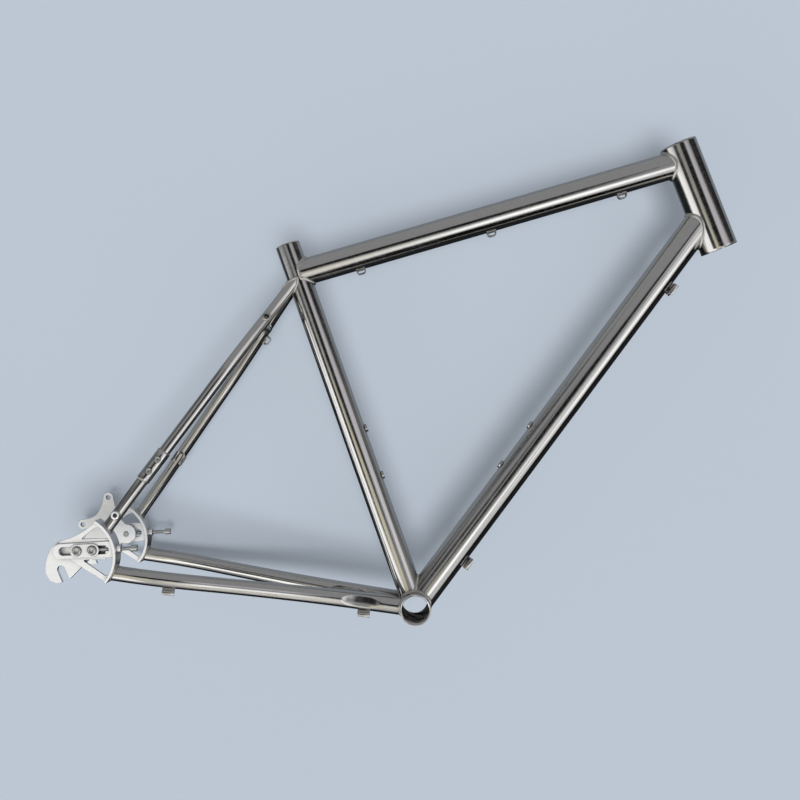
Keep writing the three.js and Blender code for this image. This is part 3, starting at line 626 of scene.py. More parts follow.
def make_shell():
    """The bottom bracket shell, threaded inside from both ends."""
    half, bore, radius, soft, mouth = SHELL_HALF, SHELL_BORE, SHELL_RADIUS, 0.7, 1.3
    depth, relief, groove, pitch = 31, 0.6, -0.55, 1.06
    outside = [(-half, bore + mouth), (-half, radius - soft)]
    outside += [(-half + soft * 0.4, radius - soft * 0.3), (-half + soft, radius)]
    outside += [(-distance, radius) for distance, radius in reversed(outside)]
    inside = thread(half - mouth, half - depth, bore, groove, pitch, TUBE_SIDES)
    inside += [(half - depth, bore + relief), (-half + depth, bore + relief)]
    inside += thread(-half + depth, -half + mouth, bore, groove, pitch, TUBE_SIDES)
    shape = turned(outside + inside, np.zeros(3), Y, TUBE_SIDES, ring=True)
    stand_in(shape, "bb_shell", sharp=50)


def make_head_tube():
    """The head tube, reamed at both ends for the bearing cups."""
    length, bore, radius, soft, ream = HEAD_LENGTH, HEAD_BORE, HEAD_RADIUS, 0.5, 14
    mouth, step, waist = 0.35, 0.4, HEAD_BORE - 0.5
    profile = [(0, radius - soft), (soft * 0.3, radius - soft * 0.3), (soft, radius)]
    profile += [(length * share, radius) for share in np.linspace(0.02, 0.98, 12)]
    profile += [(length - soft, radius), (length - soft * 0.3, radius - soft * 0.3)]
    profile += [(length, radius - soft), (length, bore + mouth), (length - mouth, bore)]
    profile += [(length - ream, bore), (length - ream - step, waist)]
    profile += [(ream + step, waist), (ream, bore), (mouth, bore), (0, bore + mouth)]
    shape = turned(profile, HEAD_FOOT, HEAD_AXIS, TUBE_SIDES, ring=True)
    stand_in(shape, "head_tube", sharp=50)


def make_seat_tube():
    """The seat tube, slit at the back of its top so that a clamp can close it."""
    top = lambda angle: np.full(angle.shape, SEAT.length)
    piece = hollow(SEAT, mitre("seat_tube_foot"), top, shares(40), open_end=True).made("seat_tube_fine")
    front = np.array([SEAT_AXIS[2], 0, -SEAT_AXIS[0]])
    foot = SEAT_TOP - SLIT_LENGTH * SEAT_AXIS
    half, reach = SLIT_WIDTH / 2, 30
    notch = slab([(-reach, -half), (0, -half), (0, half), (-reach, half)], 0, SLIT_LENGTH + 5,
                 bevel=0.05, centre=foot, u=front, v=Y, w=SEAT_AXIS)
    combine(piece, notch.made("slit"))
    relief = turned([(0, SLIT_WIDTH), (reach, SLIT_WIDTH)], foot, -front)
    combine(piece, relief.made("relief"))
    stand_in(piece, "seat_tube")


def make_mitred_tube(name, rear, front, rows):
    shape = hollow(JOINTS[rear][0], mitre(rear), mitre(front), shares(rows))
    stand_in(shape, name)


# ---- Stays -----------------------------------------------------------------------------------

def chain_radius(share):
    t = np.clip((np.asarray(share) - 0.1) / 0.6, 0, 1)
    return CHAIN_FRONT_RADIUS + (CHAIN_REAR_RADIUS - CHAIN_FRONT_RADIUS) * t * t * (3 - 2 * t)


def bent(side, points):
    curve = through(points)
    return lambda s: side * curve(s)


CHAIN_STAYS = {side: Pipe(np.zeros(3), CHAIN_END, chain_radius, 1, bent(side, CHAIN_BENDS), DENTS[side])
               for side in SIDES}
SEAT_STAYS = {side: Pipe(STAY_FOOT, STAY_TOP, STAY_RADIUS, STAY_WALL, bent(side, STAY_BENDS))
              for side in SIDES}

# A joint is a pipe, a distance along it inside its neighbours and one outside them, and the neighbours.
JOINTS = {
    "seat_tube_foot": (SEAT, 0, 60, [SHELL]),
    "top_tube_rear": (TOP, TOP_CHEEK, 80, [SEAT]),
    "top_tube_front": (TOP, TOP.length, TOP.length - 80, [HEAD]),
    "down_tube_foot": (DOWN, 0, 120, [SHELL, SEAT]),
    "down_tube_front": (DOWN, DOWN.length, DOWN.length - 90, [HEAD]),
}
BEADS = {}
for side, name in SIDES.items():
    chain, seat = CHAIN_STAYS[side], SEAT_STAYS[side]
    JOINTS[f"chainstay_front_{name}"] = (chain, 2, 60, [SHELL])
    JOINTS[f"chainstay_rear_{name}"] = (chain, chain.length + 6, chain.length - 60, [HOOD])
    JOINTS[f"seatstay_foot_{name}"] = (seat, -8, 60, [HOOD])
    JOINTS[f"seatstay_top_{name}"] = (seat, seat.length, seat.length - 60, [SEAT, TOP])
    BEADS[f"chainstay_front_{name}"] = (2.3,)
    BEADS[f"chainstay_rear_{name}"] = (1.9, 0.6, 1.6)
    BEADS[f"seatstay_foot_{name}"] = BEADS[f"seatstay_top_{name}"] = (1.7, 0.55, 1.6)


def mitre(joint):
    """A pipe's end at a joint: how far along it each line of its skin starts or stops."""
    return partial(trim, *JOINTS[joint])


def make_chain_stays():
    for side, name in SIDES.items():
        stay = CHAIN_STAYS[side]
        place, half = DENTS[side][:2]
        dense = ((place - half * 1.1) / stay.length, (place + half * 1.1) / stay.length)
        shape = hollow(stay, mitre(f"chainstay_front_{name}"), mitre(f"chainstay_rear_{name}"),
                       shares(110, dense), STAY_SIDES)
        stand_in(shape, f"chainstay_{name}", sharp=60)


def square_cut(stay, point, along):
    """Where each line of a stay's skin crosses a plane."""
    def cut(angle):
        low, high = np.full(angle.shape, 0.0), np.full(angle.shape, stay.length)
        for _ in range(HALVINGS):
            between = (low + high) / 2
            beyond = (stay.skin(between, angle) - point) @ along > 0
            high, low = np.where(beyond, between, high), np.where(beyond, low, between)
        return high
    return cut


def splitter_frame():
    """Foot, axis, outward direction and length of the belt splitter, from its CAD halves."""
    stay = SEAT_STAYS[RIGHT]
    halves = [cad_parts[f"splitter_{name}_half"] for name in ("upper", "lower")]
    points = np.array([np.array(v.co) / MM - ORIGIN for half in halves for v in half.data.vertices])
    middle_place = stay.near((points.min(axis=0) + points.max(axis=0)) / 2)
    below, above = (stay.centre(middle_place + reach) for reach in (-SPLIT_HALF, SPLIT_HALF))
    along = unit(above - below)
    reach = (points - below) @ along
    out = unit(np.cross(along, stay.square))
    return below + reach.min() * along, along, out, np.ptp(reach)


SPLIT_FOOT, SPLIT_AXIS, SPLIT_OUT, SPLIT_LENGTH = splitter_frame()


def make_seat_stays():
    right = SEAT_STAYS[RIGHT]
    low = square_cut(right, SPLIT_FOOT + 0.2 * SPLIT_AXIS, SPLIT_AXIS)
    high = square_cut(right, SPLIT_FOOT + (SPLIT_LENGTH - 0.2) * SPLIT_AXIS, SPLIT_AXIS)
    lengths = {
        "left": (mitre("seatstay_foot_left"), mitre("seatstay_top_left"), 120),
        "right_lower": (mitre("seatstay_foot_right"), low, 40),
        "right_upper": (high, mitre("seatstay_top_right"), 90),
    }
    for name, (start, end, rows) in lengths.items():
        stay = SEAT_STAYS[LEFT] if name == "left" else right
        shape = hollow(stay, start, end, shares(rows), STAY_SIDES)
        stand_in(shape, f"seatstay_{name}")


def make_bridge(name, stays):
    """A cross tube between two stays, mitred and welded to both."""
    centre, reach = middle(name), 60
    pipe = Pipe(centre - reach * Y, centre + reach * Y, BRIDGE_RADIUS, 1)
    ends = []
    for side in SIDES:
        place = stays[side].near(centre + side * 30 * Y)
        inside = reach + stays[side].centre(place)[1]
        ends.append((pipe, inside, reach, [stays[side].straight_at(place)]))
    shape = hollow(pipe, *(partial(trim, *end) for end in ends), shares(10), 48)
    stand_in(shape, name)
    for side, end in zip(SIDES.values(), ends):
        weld(bead(*end, 1.7, 0.5, 1.5), f"{name}_{side}")


def make_tube_welds():
    for name, joint in JOINTS.items():
        weld(bead(*joint, *BEADS.get(name, ())), name)


# ---- Belt splitter ---------------------------------------------------------------------------

def splitter_box(low, high, floor, roof):
    """A block in the splitter's own directions: along it, across it and away from the wheel."""
    across = np.cross(SPLIT_OUT, SPLIT_AXIS)
    outline = [(low, floor), (high, floor), (high, roof), (low, roof)]
    return slab(outline, -20, 20, bevel=0.02, centre=SPLIT_FOOT, u=SPLIT_AXIS, v=SPLIT_OUT, w=across)


def split_point(distance):
    return SPLIT_FOOT + distance * SPLIT_AXIS


def make_splitter():
    """Two halves that lap on a flat face and are pulled together by two bolts."""
    length, radius, collar, soft = SPLIT_LENGTH, SPLIT_RADIUS, SPLIT_COLLAR, 0.9
    for name in ("upper", "lower"):
        rim = [(soft * (1 - math.cos(a)), radius - soft * (1 - math.sin(a))) for a in (0.5, 1.1, 1.57)]
        profile = [(0, radius - soft)] + rim
        profile += [(length - distance, reach) for distance, reach in reversed(profile)]
        piece = turned(profile, SPLIT_FOOT, SPLIT_AXIS, 72).made(f"splitter_{name}_half_fine")
        if name == "upper":
            cuts = [(-5, collar, -20, 20), (collar - 1, length - collar - 0.3, -20, 0.15)]
        else:
            cuts = [(length - collar, length + 5, -20, 20), (collar + 0.3, length - collar + 1, -0.15, 20)]
        for cut in cuts:
            combine(piece, splitter_box(*cut).made("cut"))
        for place in SPLIT_BOLTS:
            bore = [(radius - 3.9, 4.4), (radius - 0.9, 4.4), (radius + 0.3, 4.9), (20, 4.9)]
            for profile in ([(-20, 2.65), (20, 2.65)], bore):
                combine(piece, turned(profile, split_point(place), SPLIT_OUT).made("hole"))
        bevel = piece.modifiers.new("soft_edges", "BEVEL")
        bevel.width, bevel.segments, bevel.limit_method = 0.25 * MM, 2, "ANGLE"
        bevel.angle_limit = math.radians(50)
        stand_in(piece, f"splitter_{name}_half")
    for name, place in zip(("lower", "upper"), SPLIT_BOLTS):
        top = radius - 0.1
        head = socket_head(top - 3.6, top, 4.0, 2.0, 2.2)
        shank = [(-6.5, 1.9), (-6, 2.4)] + thread(-6, 3, 2.5, 0.35)
        shank += [(top - 4, 2.5), (top - 3.7, 2.5)]
        shape = turned(shank + head, split_point(place), SPLIT_OUT)
        stand_in(shape, f"splitter_bolt_{name}", "steel")
    for name, end, facing in (("lower", 0, -SPLIT_AXIS), ("upper", length, SPLIT_AXIS)):
        weld(ring_bead(split_point(end), facing, STAY_RADIUS, 1.3, 0.45), f"splitter_{name}")


def socket_head(base, top, radius, socket, depth, soft=0.5):
    """Profile rows of a cap head with a hexagon socket, from under the head to the socket's floor."""
    hexagonal = hexagon(socket)
    rows = [(base, radius - 0.2), (base + 0.2, radius), (top - soft, radius)]
    rows += [(top - soft * (1 - math.sin(a)), radius - soft * (1 - math.cos(a))) for a in (0.5, 1.0, 1.57)]
    rows += [(top, hexagonal + 0.45), (top - 0.15, hexagonal + 0.1), (top - 0.3, hexagonal)]
    rows += [(top - depth, hexagonal), (top - depth - 0.3, hexagonal * 0.5)]
    return rows


# ---- Dropouts --------------------------------------------------------------------------------

WINDOW_RADIUS = HOOD_RADIUS - HOOD_WALL - 1.5


def on_hood(angle, radius):
    turn = math.radians(angle)
    return (HOOD_X + radius * math.cos(turn), HOOD_Z + radius * math.sin(turn))


def curved(points, count=8):
    """Points of a smooth line through a few points."""
    points = np.array(points, float)
    place = np.concatenate([[0], np.cumsum(np.linalg.norm(np.diff(points, axis=0), axis=1))])
    fine = np.linspace(0, place[-1], count * (len(points) - 1) + 1)
    x, z = (through(np.stack([place, points[:, i]], axis=1)) for i in (0, 1))
    return list(zip(x(fine), z(fine)))


def strut_outline():
    edge = HOOD_RADIUS - HOOD_WALL / 2
    outline = [(-420, 91.5), (-431, 95), (-433, 108)]
    outline += curved([(-430, 112.8), (-417, 116), (-401, 123.5), on_hood(HOOD_TOP, edge)])
    outline += arc(HOOD_X, HOOD_Z, edge, HOOD_TOP, HOOD_BOTTOM)
    outline += [on_hood(HOOD_BOTTOM - 3, edge - 3)]
    return outline + bow((-405, 79.3), (-411, 83.5), (-420, 91.5))


def upper_window():
    hole = bow((-402, 113.6), (-404.5, 113.8), (-402.5, 115.6), 6)
    hole += bow((-390, 125), (-386, 128), on_hood(47, WINDOW_RADIUS))
    return hole + arc(HOOD_X, HOOD_Z, WINDOW_RADIUS, 46, 25.2, 3)


def lower_window():
    hole = [(-401.5, 88.2)] + arc(HOOD_X, HOOD_Z, WINDOW_RADIUS, -6, -33, 3)
    hole += bow(on_hood(-33, WINDOW_RADIUS), (-376, 66.4), (-379, 69.2), 6)
    return hole + [(-402.4, 86.8)]


def hood_outline():
    outline = arc(HOOD_X, HOOD_Z, HOOD_RADIUS, HOOD_BOTTOM, HOOD_TOP, 1.5)
    return outline + arc(HOOD_X, HOOD_Z, HOOD_RADIUS - HOOD_WALL, HOOD_TOP, HOOD_BOTTOM, 1.5)


def arm_outline():
    front = HOOD_X + HOOD_RADIUS - HOOD_WALL / 2 - 1
    outline = [(front, ARM_Z - ARM_HALF), (front, ARM_Z + ARM_HALF + 1), (ARM_REAR, ARM_Z + ARM_HALF)]
    return outline + arc(ARM_REAR, ARM_Z, ARM_HALF, 90, 270)


def side_slab(side, near, far):
    """The two heights of a slab that lies between two distances from y = 0 on one side."""
    return (near, far) if side == LEFT else (-far, -near)


def make_dropouts():
    for side, name in SIDES.items():
        def plate(outline, near, far, **rest):
            return slab(outline, *side_slab(side, near, far), **rest).made("plate")

        slot = obround(SLOT_REAR, SLOT_FRONT, ARM_Z, SLOT_HALF)
        wide_slot = obround(SLOT_REAR - 0.2, SLOT_FRONT + 0.2, ARM_Z, SLOT_HALF + 0.2)
        holes = [upper_window(), lower_window(), wide_slot]
        piece = plate(strut_outline(), PLATE_INNER + 0.1, PLATE_STRUT, holes=holes, bevel=0.6)
        piece.name = f"dropout_{name}_fine"
        combine(piece, plate(hood_outline(), HOOD_INNER, HOOD_OUTER, bevel=0.7), "UNION")
        combine(piece, plate(arm_outline(), PLATE_INNER, PLATE_OUTER, holes=[slot], bevel=0.45), "UNION")
        bore = turned([(-380, SCREW_RADIUS + 0.2), (-340, SCREW_RADIUS + 0.2)],
                      np.array([0, side * SCREW_Y, SCREW_Z]), X)
        combine(piece, bore.made("bore"))
        stand_in(piece, f"dropout_{name}", "machined")


# ---- Sliders ---------------------------------------------------------------------------------

def slider_outline():
    """The axle plate with its open slot, which leans forward."""
    tilt = math.radians(AXLE_TILT)
    down, across = np.array([math.sin(tilt), -math.cos(tilt)]), np.array([math.cos(tilt), math.sin(tilt)])

    def mouth(reach, offset):
        return tuple(np.array([AXLE_X, AXLE_Z]) + down * reach + across * offset)

    nose, front = 13, SLIDER_BOLTS[0]
    outline = bow(mouth(15, -AXLE_HALF), (-438.5, 58.8), (-446, 63.8))
    outline += curved([(-446, 63.8), (-450.9, 72.8), (-451.2, 82.5), (-448.8, 92), (-442.8, 105)])
    outline += [(-436, 110.5), (-412, 113)]
    outline += arc(front, ARM_Z, nose, 90, -118)
    outline += [(-406.7, 79), (-421.5, 65.5), mouth(13, AXLE_HALF)]
    return outline + arc(AXLE_X, AXLE_Z, AXLE_HALF, AXLE_TILT, 180 + AXLE_TILT)


def disc_mount_outline():
    upper, lower, ear = DISC_UPPER, DISC_LOWER, DISC_EAR
    outline = arc(*upper, ear, 0, 150)
    outline += bow(outline[-1], (-422, 135), (-430, 128))
    outline += bow((-430, 128), (-437, 122.5), (lower[0] + 1, lower[1] + ear))
    outline += arc(*lower, ear, 90, 300)
    outline += [(-436, 104), (-387, 101), (-380.5, 103), (-394, 117)]
    return outline + bow((-394, 117), (-403, 128), (upper[0] + ear, upper[1]))


def round_hole(x, z, radius):
    return arc(x, z, radius, 0, 348, 12)


def bolt_holes(plate, side, profile):
    for x in SLIDER_BOLTS:
        combine(plate, turned(profile, np.array([x, 0, ARM_Z]), side * Y).made("hole"))


def make_sliders():
    """The axle plates. The left one carries the disc brake mount."""
    face = PLATE_INNER - RUNNING
    for side, name in SIDES.items():
        piece = slab(slider_outline(), *side_slab(side, HUB_FACE, face)).made(f"slider_{name}_fine")
        if side == LEFT:
            ears = [round_hole(*place, DISC_HOLE) for place in (DISC_UPPER, DISC_LOWER)]
            mount = slab(disc_mount_outline(), HUB_FACE + 0.12, face - 0.12, ears)
            combine(piece, mount.made("mount"), "UNION")
        tongue = slab(obround(TONGUE_REAR, TONGUE_FRONT, ARM_Z, TONGUE_HALF),
                      *side_slab(side, face - 1, TONGUE_OUTER), bevel=0.3)
        combine(piece, tongue.made("tongue"), "UNION")
        bolt_holes(piece, side, [(HUB_FACE - 1, 4.6), (HUB_FACE, 4.4), (HUB_FACE + 1.3, 3.1), (90, 3.1)])
        stand_in(piece, f"slider_{name}", "machined", f"slider_{name}")
        make_clamp(side, name)


def make_clamp(side, name):
    """The plate that clamps a slider, its two bolts, and the screw that adjusts it."""
    centre, body = sum(SLIDER_BOLTS) / 2, f"slider_{name}"
    face = PLATE_OUTER + RUNNING
    outline = obround(centre - CLAMP_HALF, centre + CLAMP_HALF, ARM_Z, 8)
    plate = slab(outline, *side_slab(side, face, face + CLAMP_THICK), bevel=0.55)
    plate = plate.made(f"clamp_plate_{name}_fine")
    hole = [(face - 1, 3.2), (face + 1.6, 3.2), (face + 1.62, 5.9), (face + 2.2, 5.9)]
    bolt_holes(plate, side, hole + [(face + 2.6, 6.3), (90, 6.3)])
    stand_in(plate, f"clamp_plate_{name}", "machined", body)
    base = face + RUNNING + CLAMP_THICK
    for x, place in zip(SLIDER_BOLTS, ("front", "rear")):
        profile = [(HUB_FACE + 0.7, 2.0), (HUB_FACE + 1.1, 2.5)]
        profile += thread(HUB_FACE + 1.2, HUB_FACE + 9, 2.9, 0.4)
        profile += [(base - 1, 2.9)] + socket_head(base - 1, base + 4, 5.2, 2.7, 2.4, 0.9)
        shape = turned(profile, np.array([x, 0, ARM_Z]), side * Y)
        stand_in(shape, f"slider_bolt_{name}_{place}", "steel", body)
    make_adjuster(side, name)


def make_adjuster(side, name):
    """A cap screw in a threaded collar on the hood."""
    node = f"adjuster_screw_{name}"
    low, high = corners(node)
    tip, end = low[0] - ORIGIN[0], high[0] - ORIGIN[0]
    base = end - SCREW_HEAD_LENGTH
    profile = [(tip, 1.6), (tip + 0.7, 2.1)] + thread(tip + 0.8, base - 2, SCREW_RADIUS, 0.38)
    profile += [(base - 1.5, SCREW_RADIUS - 0.2), (base - 0.3, SCREW_RADIUS)]
    profile += socket_head(base, end, SCREW_HEAD_RADIUS, 2.2, 3)
    line = np.array([0, side * SCREW_Y, SCREW_Z])
    stand_in(turned(profile, line, X), node, "steel", f"adjuster_{name}")
    node = f"adjuster_nut_{name}"
    front = corners(node)[1][0] - ORIGIN[0]
    rear = HOOD_X + math.sqrt(HOOD_RADIUS**2 - 6**2) - 0.6
    profile = [(rear, 4.9), (front - 0.6, 4.9), (front - 0.2, 4.7), (front, 4.3)]
    profile += [(front, 3.1), (front - 0.4, 2.7), (rear, 2.7)]
    stand_in(turned(profile, line, X, ring=True), node, "machined")
    seam = line + (rear + 0.2) * X
    weld(ring_bead(seam, X, 4.9, 1.0, 0.35, 1.2), f"adjuster_{name}")


# ---- Fittings --------------------------------------------------------------------------------

def tapped(top, floor):
    """Profile rows of a threaded hole, from the softened edge of its mouth to its floor."""
    return [(top, 3.0), (top - 0.5, 2.5)] + thread(top - 0.6, floor, 2.5, -0.3)


def make_bottle_bosses():
    """Threaded inserts, each with a thin flange."""
    for tube, part in ((SEAT, "seat"), (DOWN, "down")):
        for name in (f"bottle_boss_{part}_upper", f"bottle_boss_{part}_lower"):
            origin, _, out = fitting_frame(name, tube)
            skin, top = tube.size, tube.size + 2.6
            profile = [(skin - 4, 4.4), (skin + 0.2, 4.4), (skin + 0.25, 5.0), (top - 0.5, 5.2)]
            profile += [(top - 0.15, 5.05), (top, 4.7)] + tapped(top, skin - 4)
            shape = turned(profile, origin, out, ring=True)
            stand_in(shape, name)
            weld(ring_bead(origin + (skin + 0.1) * out, out, 5.0, 0.9, 0.3, 1.1), name)


def arch(half, foot, top, shoulder):
    """The outline of a low bridge with bent shoulders."""
    outline = [(-half, foot), (half, foot), (half, top - shoulder)]
    outline += bow((half, top - shoulder), (half * 0.85, top), (half * 0.35, top))
    return outline + bow((-half * 0.35, top), (-half * 0.85, top), (-half, top - shoulder))


def fitting_frame(name, tube):
    """Where a fitting stands on a tube: a point on the centre line, and the ways along and out."""
    centre = middle(name)
    if tube.bend is None:
        origin = tube.start + ((centre - tube.start) @ tube.along) * tube.along
        return origin, tube.along, unit(centre - origin)
    place = tube.near(centre)
    along, _ = tube.axes(place)
    origin = tube.centre(place)
    out = centre - origin
    return origin, along, unit(out - (out @ along) * along)


def straddle(name, tube, design):
    """A fitting that is cut to stand on a tube. The design makes its slab from the tube's radius."""
    origin, along, out = fitting_frame(name, tube)
    radius = float(tube.radius(tube.near(origin)))
    piece = design(radius, origin, along, out, np.cross(out, along)).made(f"{name}_fine")
    inside = turned([(-50, radius - 0.1), (50, radius - 0.1)], origin, along, TUBE_SIDES)
    stand_in(combine(piece, inside.made("tube")), name)


def hose_loop(radius, origin, along, out, across):
    """A strap bent into a low bridge that a hose passes under."""
    half, height, strap = 6.25, radius + 6.2, 1.7
    opening = arch(half - strap, radius + 1.2, height - strap, 2)
    return slab(arch(half, radius - 3, height, 4), -3.5, 3.5, [opening], 0.6, origin, along, out, across)


def guide_outline(radius):
    """Two open channels side by side on a stem, seen along the tube."""
    z, spread, outer, bore = radius + 5.2, 4.2, 3.9, 2.7
    outline = [(-3, radius - 3), (3, radius - 3), (3, z - 3.4)]
    outline += arc(spread, z, outer, -70, 40)
    outline += arc(spread, z, bore, 40, -180)
    outline += arc(-spread, z, bore, 0, -220)
    return outline + arc(-spread, z, outer, -220, -110)


def cable_guide(radius, origin, along, out, across):
    return slab(guide_outline(radius), -7.5, 7.5, (), 0.35, origin, across, out, along)


def make_side_boss(name, side, length, radius, material):
    """A short threaded tube that stands out sideways from a seat stay."""
    low, high = corners(name)
    centre = middle(name)
    stay = SEAT_STAYS[side]
    tip = (high if side == LEFT else low)[1]
    origin = np.array([centre[0], 0, centre[2]])
    foot = stay.near(np.array([centre[0], tip - side * length, centre[2]]))
    root = abs(stay.centre(foot)[1]) + 5
    end = abs(tip)
    profile = [(root, radius), (end - 0.5, radius), (end - 0.15, radius - 0.15), (end, radius - 0.5)]
    shape = turned(profile + tapped(end, root), origin, side * Y, ring=True)
    stand_in(shape, name, material)
    pipe = Pipe(origin + side * (root - 5) * Y, origin + side * end * Y, radius, 1)
    weld(bead(pipe, 0, pipe.length, [stay.straight_at(foot)], 1.1, 0.4, 1.2), name)


def make_fittings():
    make_bottle_bosses()
    for name in ("front", "middle", "rear"):
        straddle(f"hose_loop_{name}", TOP, hose_loop)
    straddle("hose_loop_seatstay", SEAT_STAYS[LEFT], hose_loop)
    for name in ("upper", "lower"):
        straddle(f"cable_guide_down_{name}", DOWN, cable_guide)
    for name in ("front", "rear"):
        straddle(f"cable_guide_chainstay_{name}", CHAIN_STAYS[RIGHT], cable_guide)
    straddle("hose_guide_seatstay", SEAT_STAYS[LEFT], cable_guide)
    for side, name in SIDES.items():
        make_side_boss(f"rack_boss_{name}", side, 10.5, 4.8, "titanium")
        make_side_boss(f"fender_eyelet_{name}", side, 10.5, 4.9, "machined")


# ---- Studio ----------------------------------------------------------------------------------

BACKDROP = (0.503, 0.565, 0.644)
FLOOR = {"half": 1.6, "gap": 0.012, "albedo": 0.62, "glow": 0.2}
# In the metal's reflections the floor is a painted reflection: a glow that is brighter towards its top,
# darker below as painted shade, and that clears away with distance.
REFLECTED_FLOOR = {"bright": 0.46, "dark": 0.03, "near": 0.4, "far": 0.75}
SHADOW_LIGHT = {"strength": 2.6, "spread": 24, "from_below": 14, "from_right": 3}
CAMERA_PLACE, CAMERA_ROLL, CAMERA_LENS, SENSOR = np.array([-7.8, -1300, 266.6]), 2.5, 45, 36


def make_world():
    """Soft light boxes and dark flags that stay put as seen from the camera."""
    world = bpy.data.worlds.new("studio")
    bpy.context.scene.world = world
    nodes = Nodes(world)
    direction = nodes.add("ShaderNodeTexCoord").outputs["Generated"]
    seen = nodes.add("ShaderNodeVectorTransform", {"Vector": direction}, vector_type="VECTOR",
                     convert_from="WORLD", convert_to="CAMERA")
    axes = nodes.add("ShaderNodeSeparateXYZ", {"Vector": seen.outputs[0]})
    right, up, ahead = axes.outputs
    side = nodes.math("DEGREES", nodes.math("ARCTAN2", right, nodes.math("MULTIPLY", ahead, -1)))
    rise = nodes.math("DEGREES", nodes.math("ARCSINE", up))
    colour = (*ROOM, 1)
    for patch in LIGHT_PATCHES:
        colour = light_patch(nodes, colour, side, rise, *patch)
    camera = nodes.add("ShaderNodeLightPath").outputs["Is Camera Ray"]
    shader = nodes.add("ShaderNodeBackground", {"Color": nodes.mix(camera, colour, (*BACKDROP, 1))})
    nodes.add("ShaderNodeOutputWorld", {"Surface": shader.outputs[0]})


def light_patch(nodes, under, side, rise, colour, left, right, low, high, soft):
    """Lays one patch of light over what is under it. Its limits are degrees to the right and up."""
    def edge(value, limit, sign):
        inputs = {"Value": value, "From Min": limit - sign * soft, "From Max": limit + sign * soft}
        return nodes.add("ShaderNodeMapRange", inputs, interpolation_type="SMOOTHSTEP").outputs["Result"]

    mask = nodes.math("MULTIPLY", edge(side, left, 1), edge(side, right, -1))
    mask = nodes.math("MULTIPLY", mask, nodes.math("MULTIPLY", edge(rise, low, 1), edge(rise, high, -1)))
    return nodes.mix(mask, under, (*colour, 1))


ROOM = (0.30, 0.305, 0.32)
# Each patch is a colour, then its left, right, low and high limits and the softness of its edges.
LIGHT_PATCHES = [
    ((0.62, 0.60, 0.66), 18, 60, 2, 20, 3),
    ((0.015, 0.015, 0.015), 46, 108, 20, 32, 3),
    ((0.09, 0.09, 0.095), 62, 100, 11, 18, 2),
    ((0.04, 0.04, 0.045), -112, -56, 23, 30, 3),
    ((0.04, 0.04, 0.045), -62, -18, 11, 21, 3),
    ((0.06, 0.06, 0.065), -112, -48, 34, 41, 3),
    ((0.012, 0.012, 0.012), -12, 14, -4, 16, 2),
    ((0.02, 0.02, 0.02), -135, -97, -25, -7, 3),
    ((0.03, 0.03, 0.03), -48, -29, -20, -3, 3),
    ((1.5, 1.5, 1.5), -50, -23, -62, -21, 3),
    ((0.6, 0.6, 0.58), -23, 0, -70, -21, 3),
    ((1.35, 1.37, 1.4), -93, -49, -42, -12, 3),
    ((0.74, 0.70, 0.54), -28, -2, -24, -5, 2),
    ((0.86, 0.85, 0.80), 0, 14, -90, -14, 2),
    ((0.9, 0.9, 0.93), 30, 56, -8, 8, 4),
    ((0.7, 0.71, 0.74), 14, 74, -46, -8, 3),
    ((1.6, 1.62, 1.65), 14, 30, -36, -16, 4),
    ((1.4, 1.42, 1.45), 42, 64, -28, -12, 4),
    ((0.004, 0.004, 0.004), 18, 128, -74, -45, 2),
    ((0.01, 0.01, 0.01), 76, 116, -46, -12, 3),
    ((0.01, 0.01, 0.01), -178, -95, -90, -50, 4),
]


def make_shadow_light(camera):
    """A broad light beside the camera that mirrors don't show. It goes where the camera goes."""
    data = bpy.data.lights.new("shadow_light", "SUN")
    data.energy, data.angle = SHADOW_LIGHT["strength"], math.radians(SHADOW_LIGHT["spread"])
    light = bpy.data.objects.new("shadow_light", data)
    bpy.context.scene.collection.objects.link(light)
    light.visible_glossy = False
    light.parent = camera
    light.rotation_euler = [math.radians(SHADOW_LIGHT[turn]) for turn in ("from_below", "from_right")] + [0]


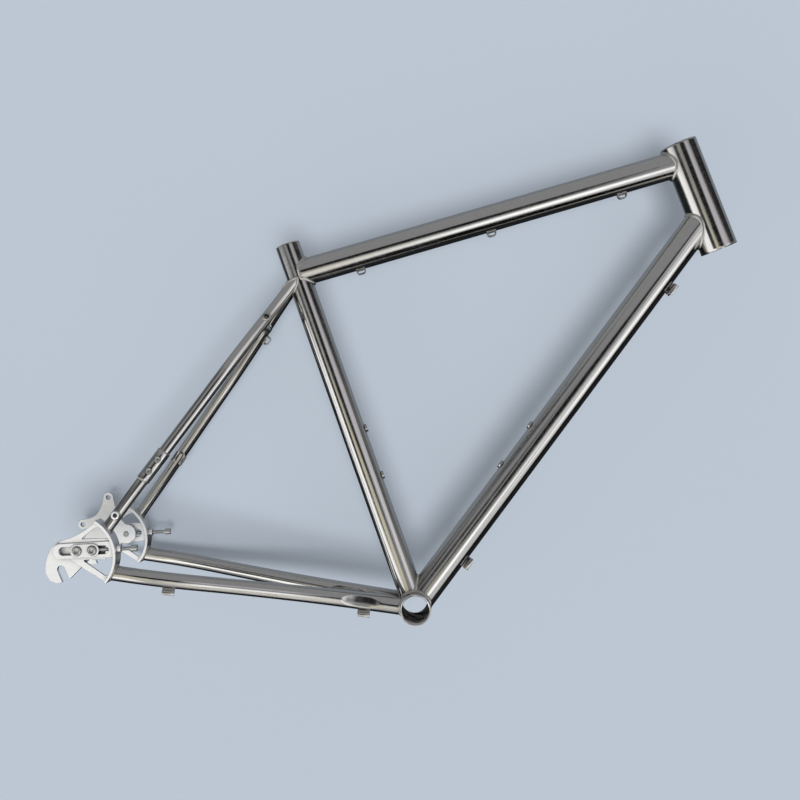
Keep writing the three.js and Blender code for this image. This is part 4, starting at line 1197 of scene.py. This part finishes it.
def backdrop_material(plane):
    """A matt floor. In reflections it is a painted reflection, a dimmer glow that is darker as painted shade
    when seen from above, and it is clear when seen from behind.
    """
    material = bpy.data.materials.new("backdrop")
    nodes = Nodes(material)
    colour = (*BACKDROP, 1)

    def blend(factor, first, second):
        return nodes.add("ShaderNodeMixShader", {0: factor, 1: first.outputs[0], 2: second.outputs[0]})

    matt = nodes.add("ShaderNodeBsdfDiffuse", {"Color": (*[c * FLOOR["albedo"] for c in BACKDROP], 1)})
    glow = nodes.add("ShaderNodeEmission", {"Color": colour, "Strength": FLOOR["glow"]})
    lit = nodes.add("ShaderNodeAddShader", {0: matt.outputs[0], 1: glow.outputs[0]})
    clear = nodes.add("ShaderNodeBsdfTransparent")
    surface = nodes.add("ShaderNodeNewGeometry")
    towards = nodes.add("ShaderNodeSeparateXYZ", {"Vector": surface.outputs["Incoming"]})
    look = REFLECTED_FLOOR
    # In glossy rays the floor is a painted reflection: a glow that is darker, as painted shade, when seen
    # from above, and that clears away with distance.
    painted_reflection_strength = nodes.remap(towards.outputs["Z"], look["bright"], look["dark"], -0.05, 0.12)
    painted_reflection = nodes.add("ShaderNodeEmission", {"Color": colour, "Strength": painted_reflection_strength})
    paths = nodes.add("ShaderNodeLightPath")
    far = nodes.remap(paths.outputs["Ray Length"], 0, 1, look["near"], look["far"])
    base = blend(paths.outputs["Is Glossy Ray"], lit, blend(far, painted_reflection, clear))
    camera = nodes.add("ShaderNodeVectorTransform", {"Vector": (0, 0, 0)}, vector_type="POINT",
                       convert_from="CAMERA", convert_to="WORLD")
    camera = nodes.add("ShaderNodeSeparateXYZ", {"Vector": camera.outputs[0]})
    beyond = nodes.math("GREATER_THAN", camera.outputs["Y"], plane)
    behind = nodes.math("MAXIMUM", surface.outputs["Backfacing"], beyond)
    nodes.add("ShaderNodeOutputMaterial", {"Surface": blend(behind, base, clear).outputs[0]})
    return material


def make_backdrop():
    """A pale floor behind the frame. It clears away when the camera is behind it."""
    low, high = CAD_BOX
    centre, half = (low + high) / 2, FLOOR["half"]
    place = high[1] + FLOOR["gap"]
    ends = [(-half, -half), (half, -half), (half, half), (-half, half)]
    mesh = bpy.data.meshes.new("backdrop")
    mesh.from_pydata([(centre[0] + x, place, centre[2] + z) for x, z in ends], [], [(0, 1, 2, 3)])
    mesh.materials.append(backdrop_material(float(place)))
    floor = bpy.data.objects.new("backdrop", mesh)
    bpy.context.scene.collection.objects.link(floor)


def make_camera():
    """The camera faces the frame's right side, turned a little about its line of sight."""
    data = bpy.data.cameras.new("camera")
    data.lens, data.sensor_width = CAMERA_LENS, SENSOR
    camera = bpy.data.objects.new("camera", data)
    bpy.context.scene.collection.objects.link(camera)
    turn = math.radians(CAMERA_ROLL)
    right, up = (math.cos(turn), 0, -math.sin(turn)), (math.sin(turn), 0, math.cos(turn))
    matrix = Matrix([right, up, (0, -1, 0)]).transposed().to_4x4()
    matrix.translation = Vector((CAMERA_PLACE + ORIGIN) * MM)
    camera.matrix_world = matrix
    bpy.context.scene.camera = camera
    make_shadow_light(camera)


make_shell()
make_head_tube()
make_seat_tube()
make_mitred_tube("top_tube", "top_tube_rear", "top_tube_front", 40)
make_mitred_tube("down_tube", "down_tube_foot", "down_tube_front", 48)
make_chain_stays()
make_seat_stays()
make_bridge("chainstay_bridge", CHAIN_STAYS)
make_bridge("seatstay_bridge", SEAT_STAYS)
make_tube_welds()
make_splitter()
make_dropouts()
make_sliders()
make_fittings()
make_world()
make_backdrop()
make_camera()
bpy.context.scene.view_settings.view_transform = "Standard"
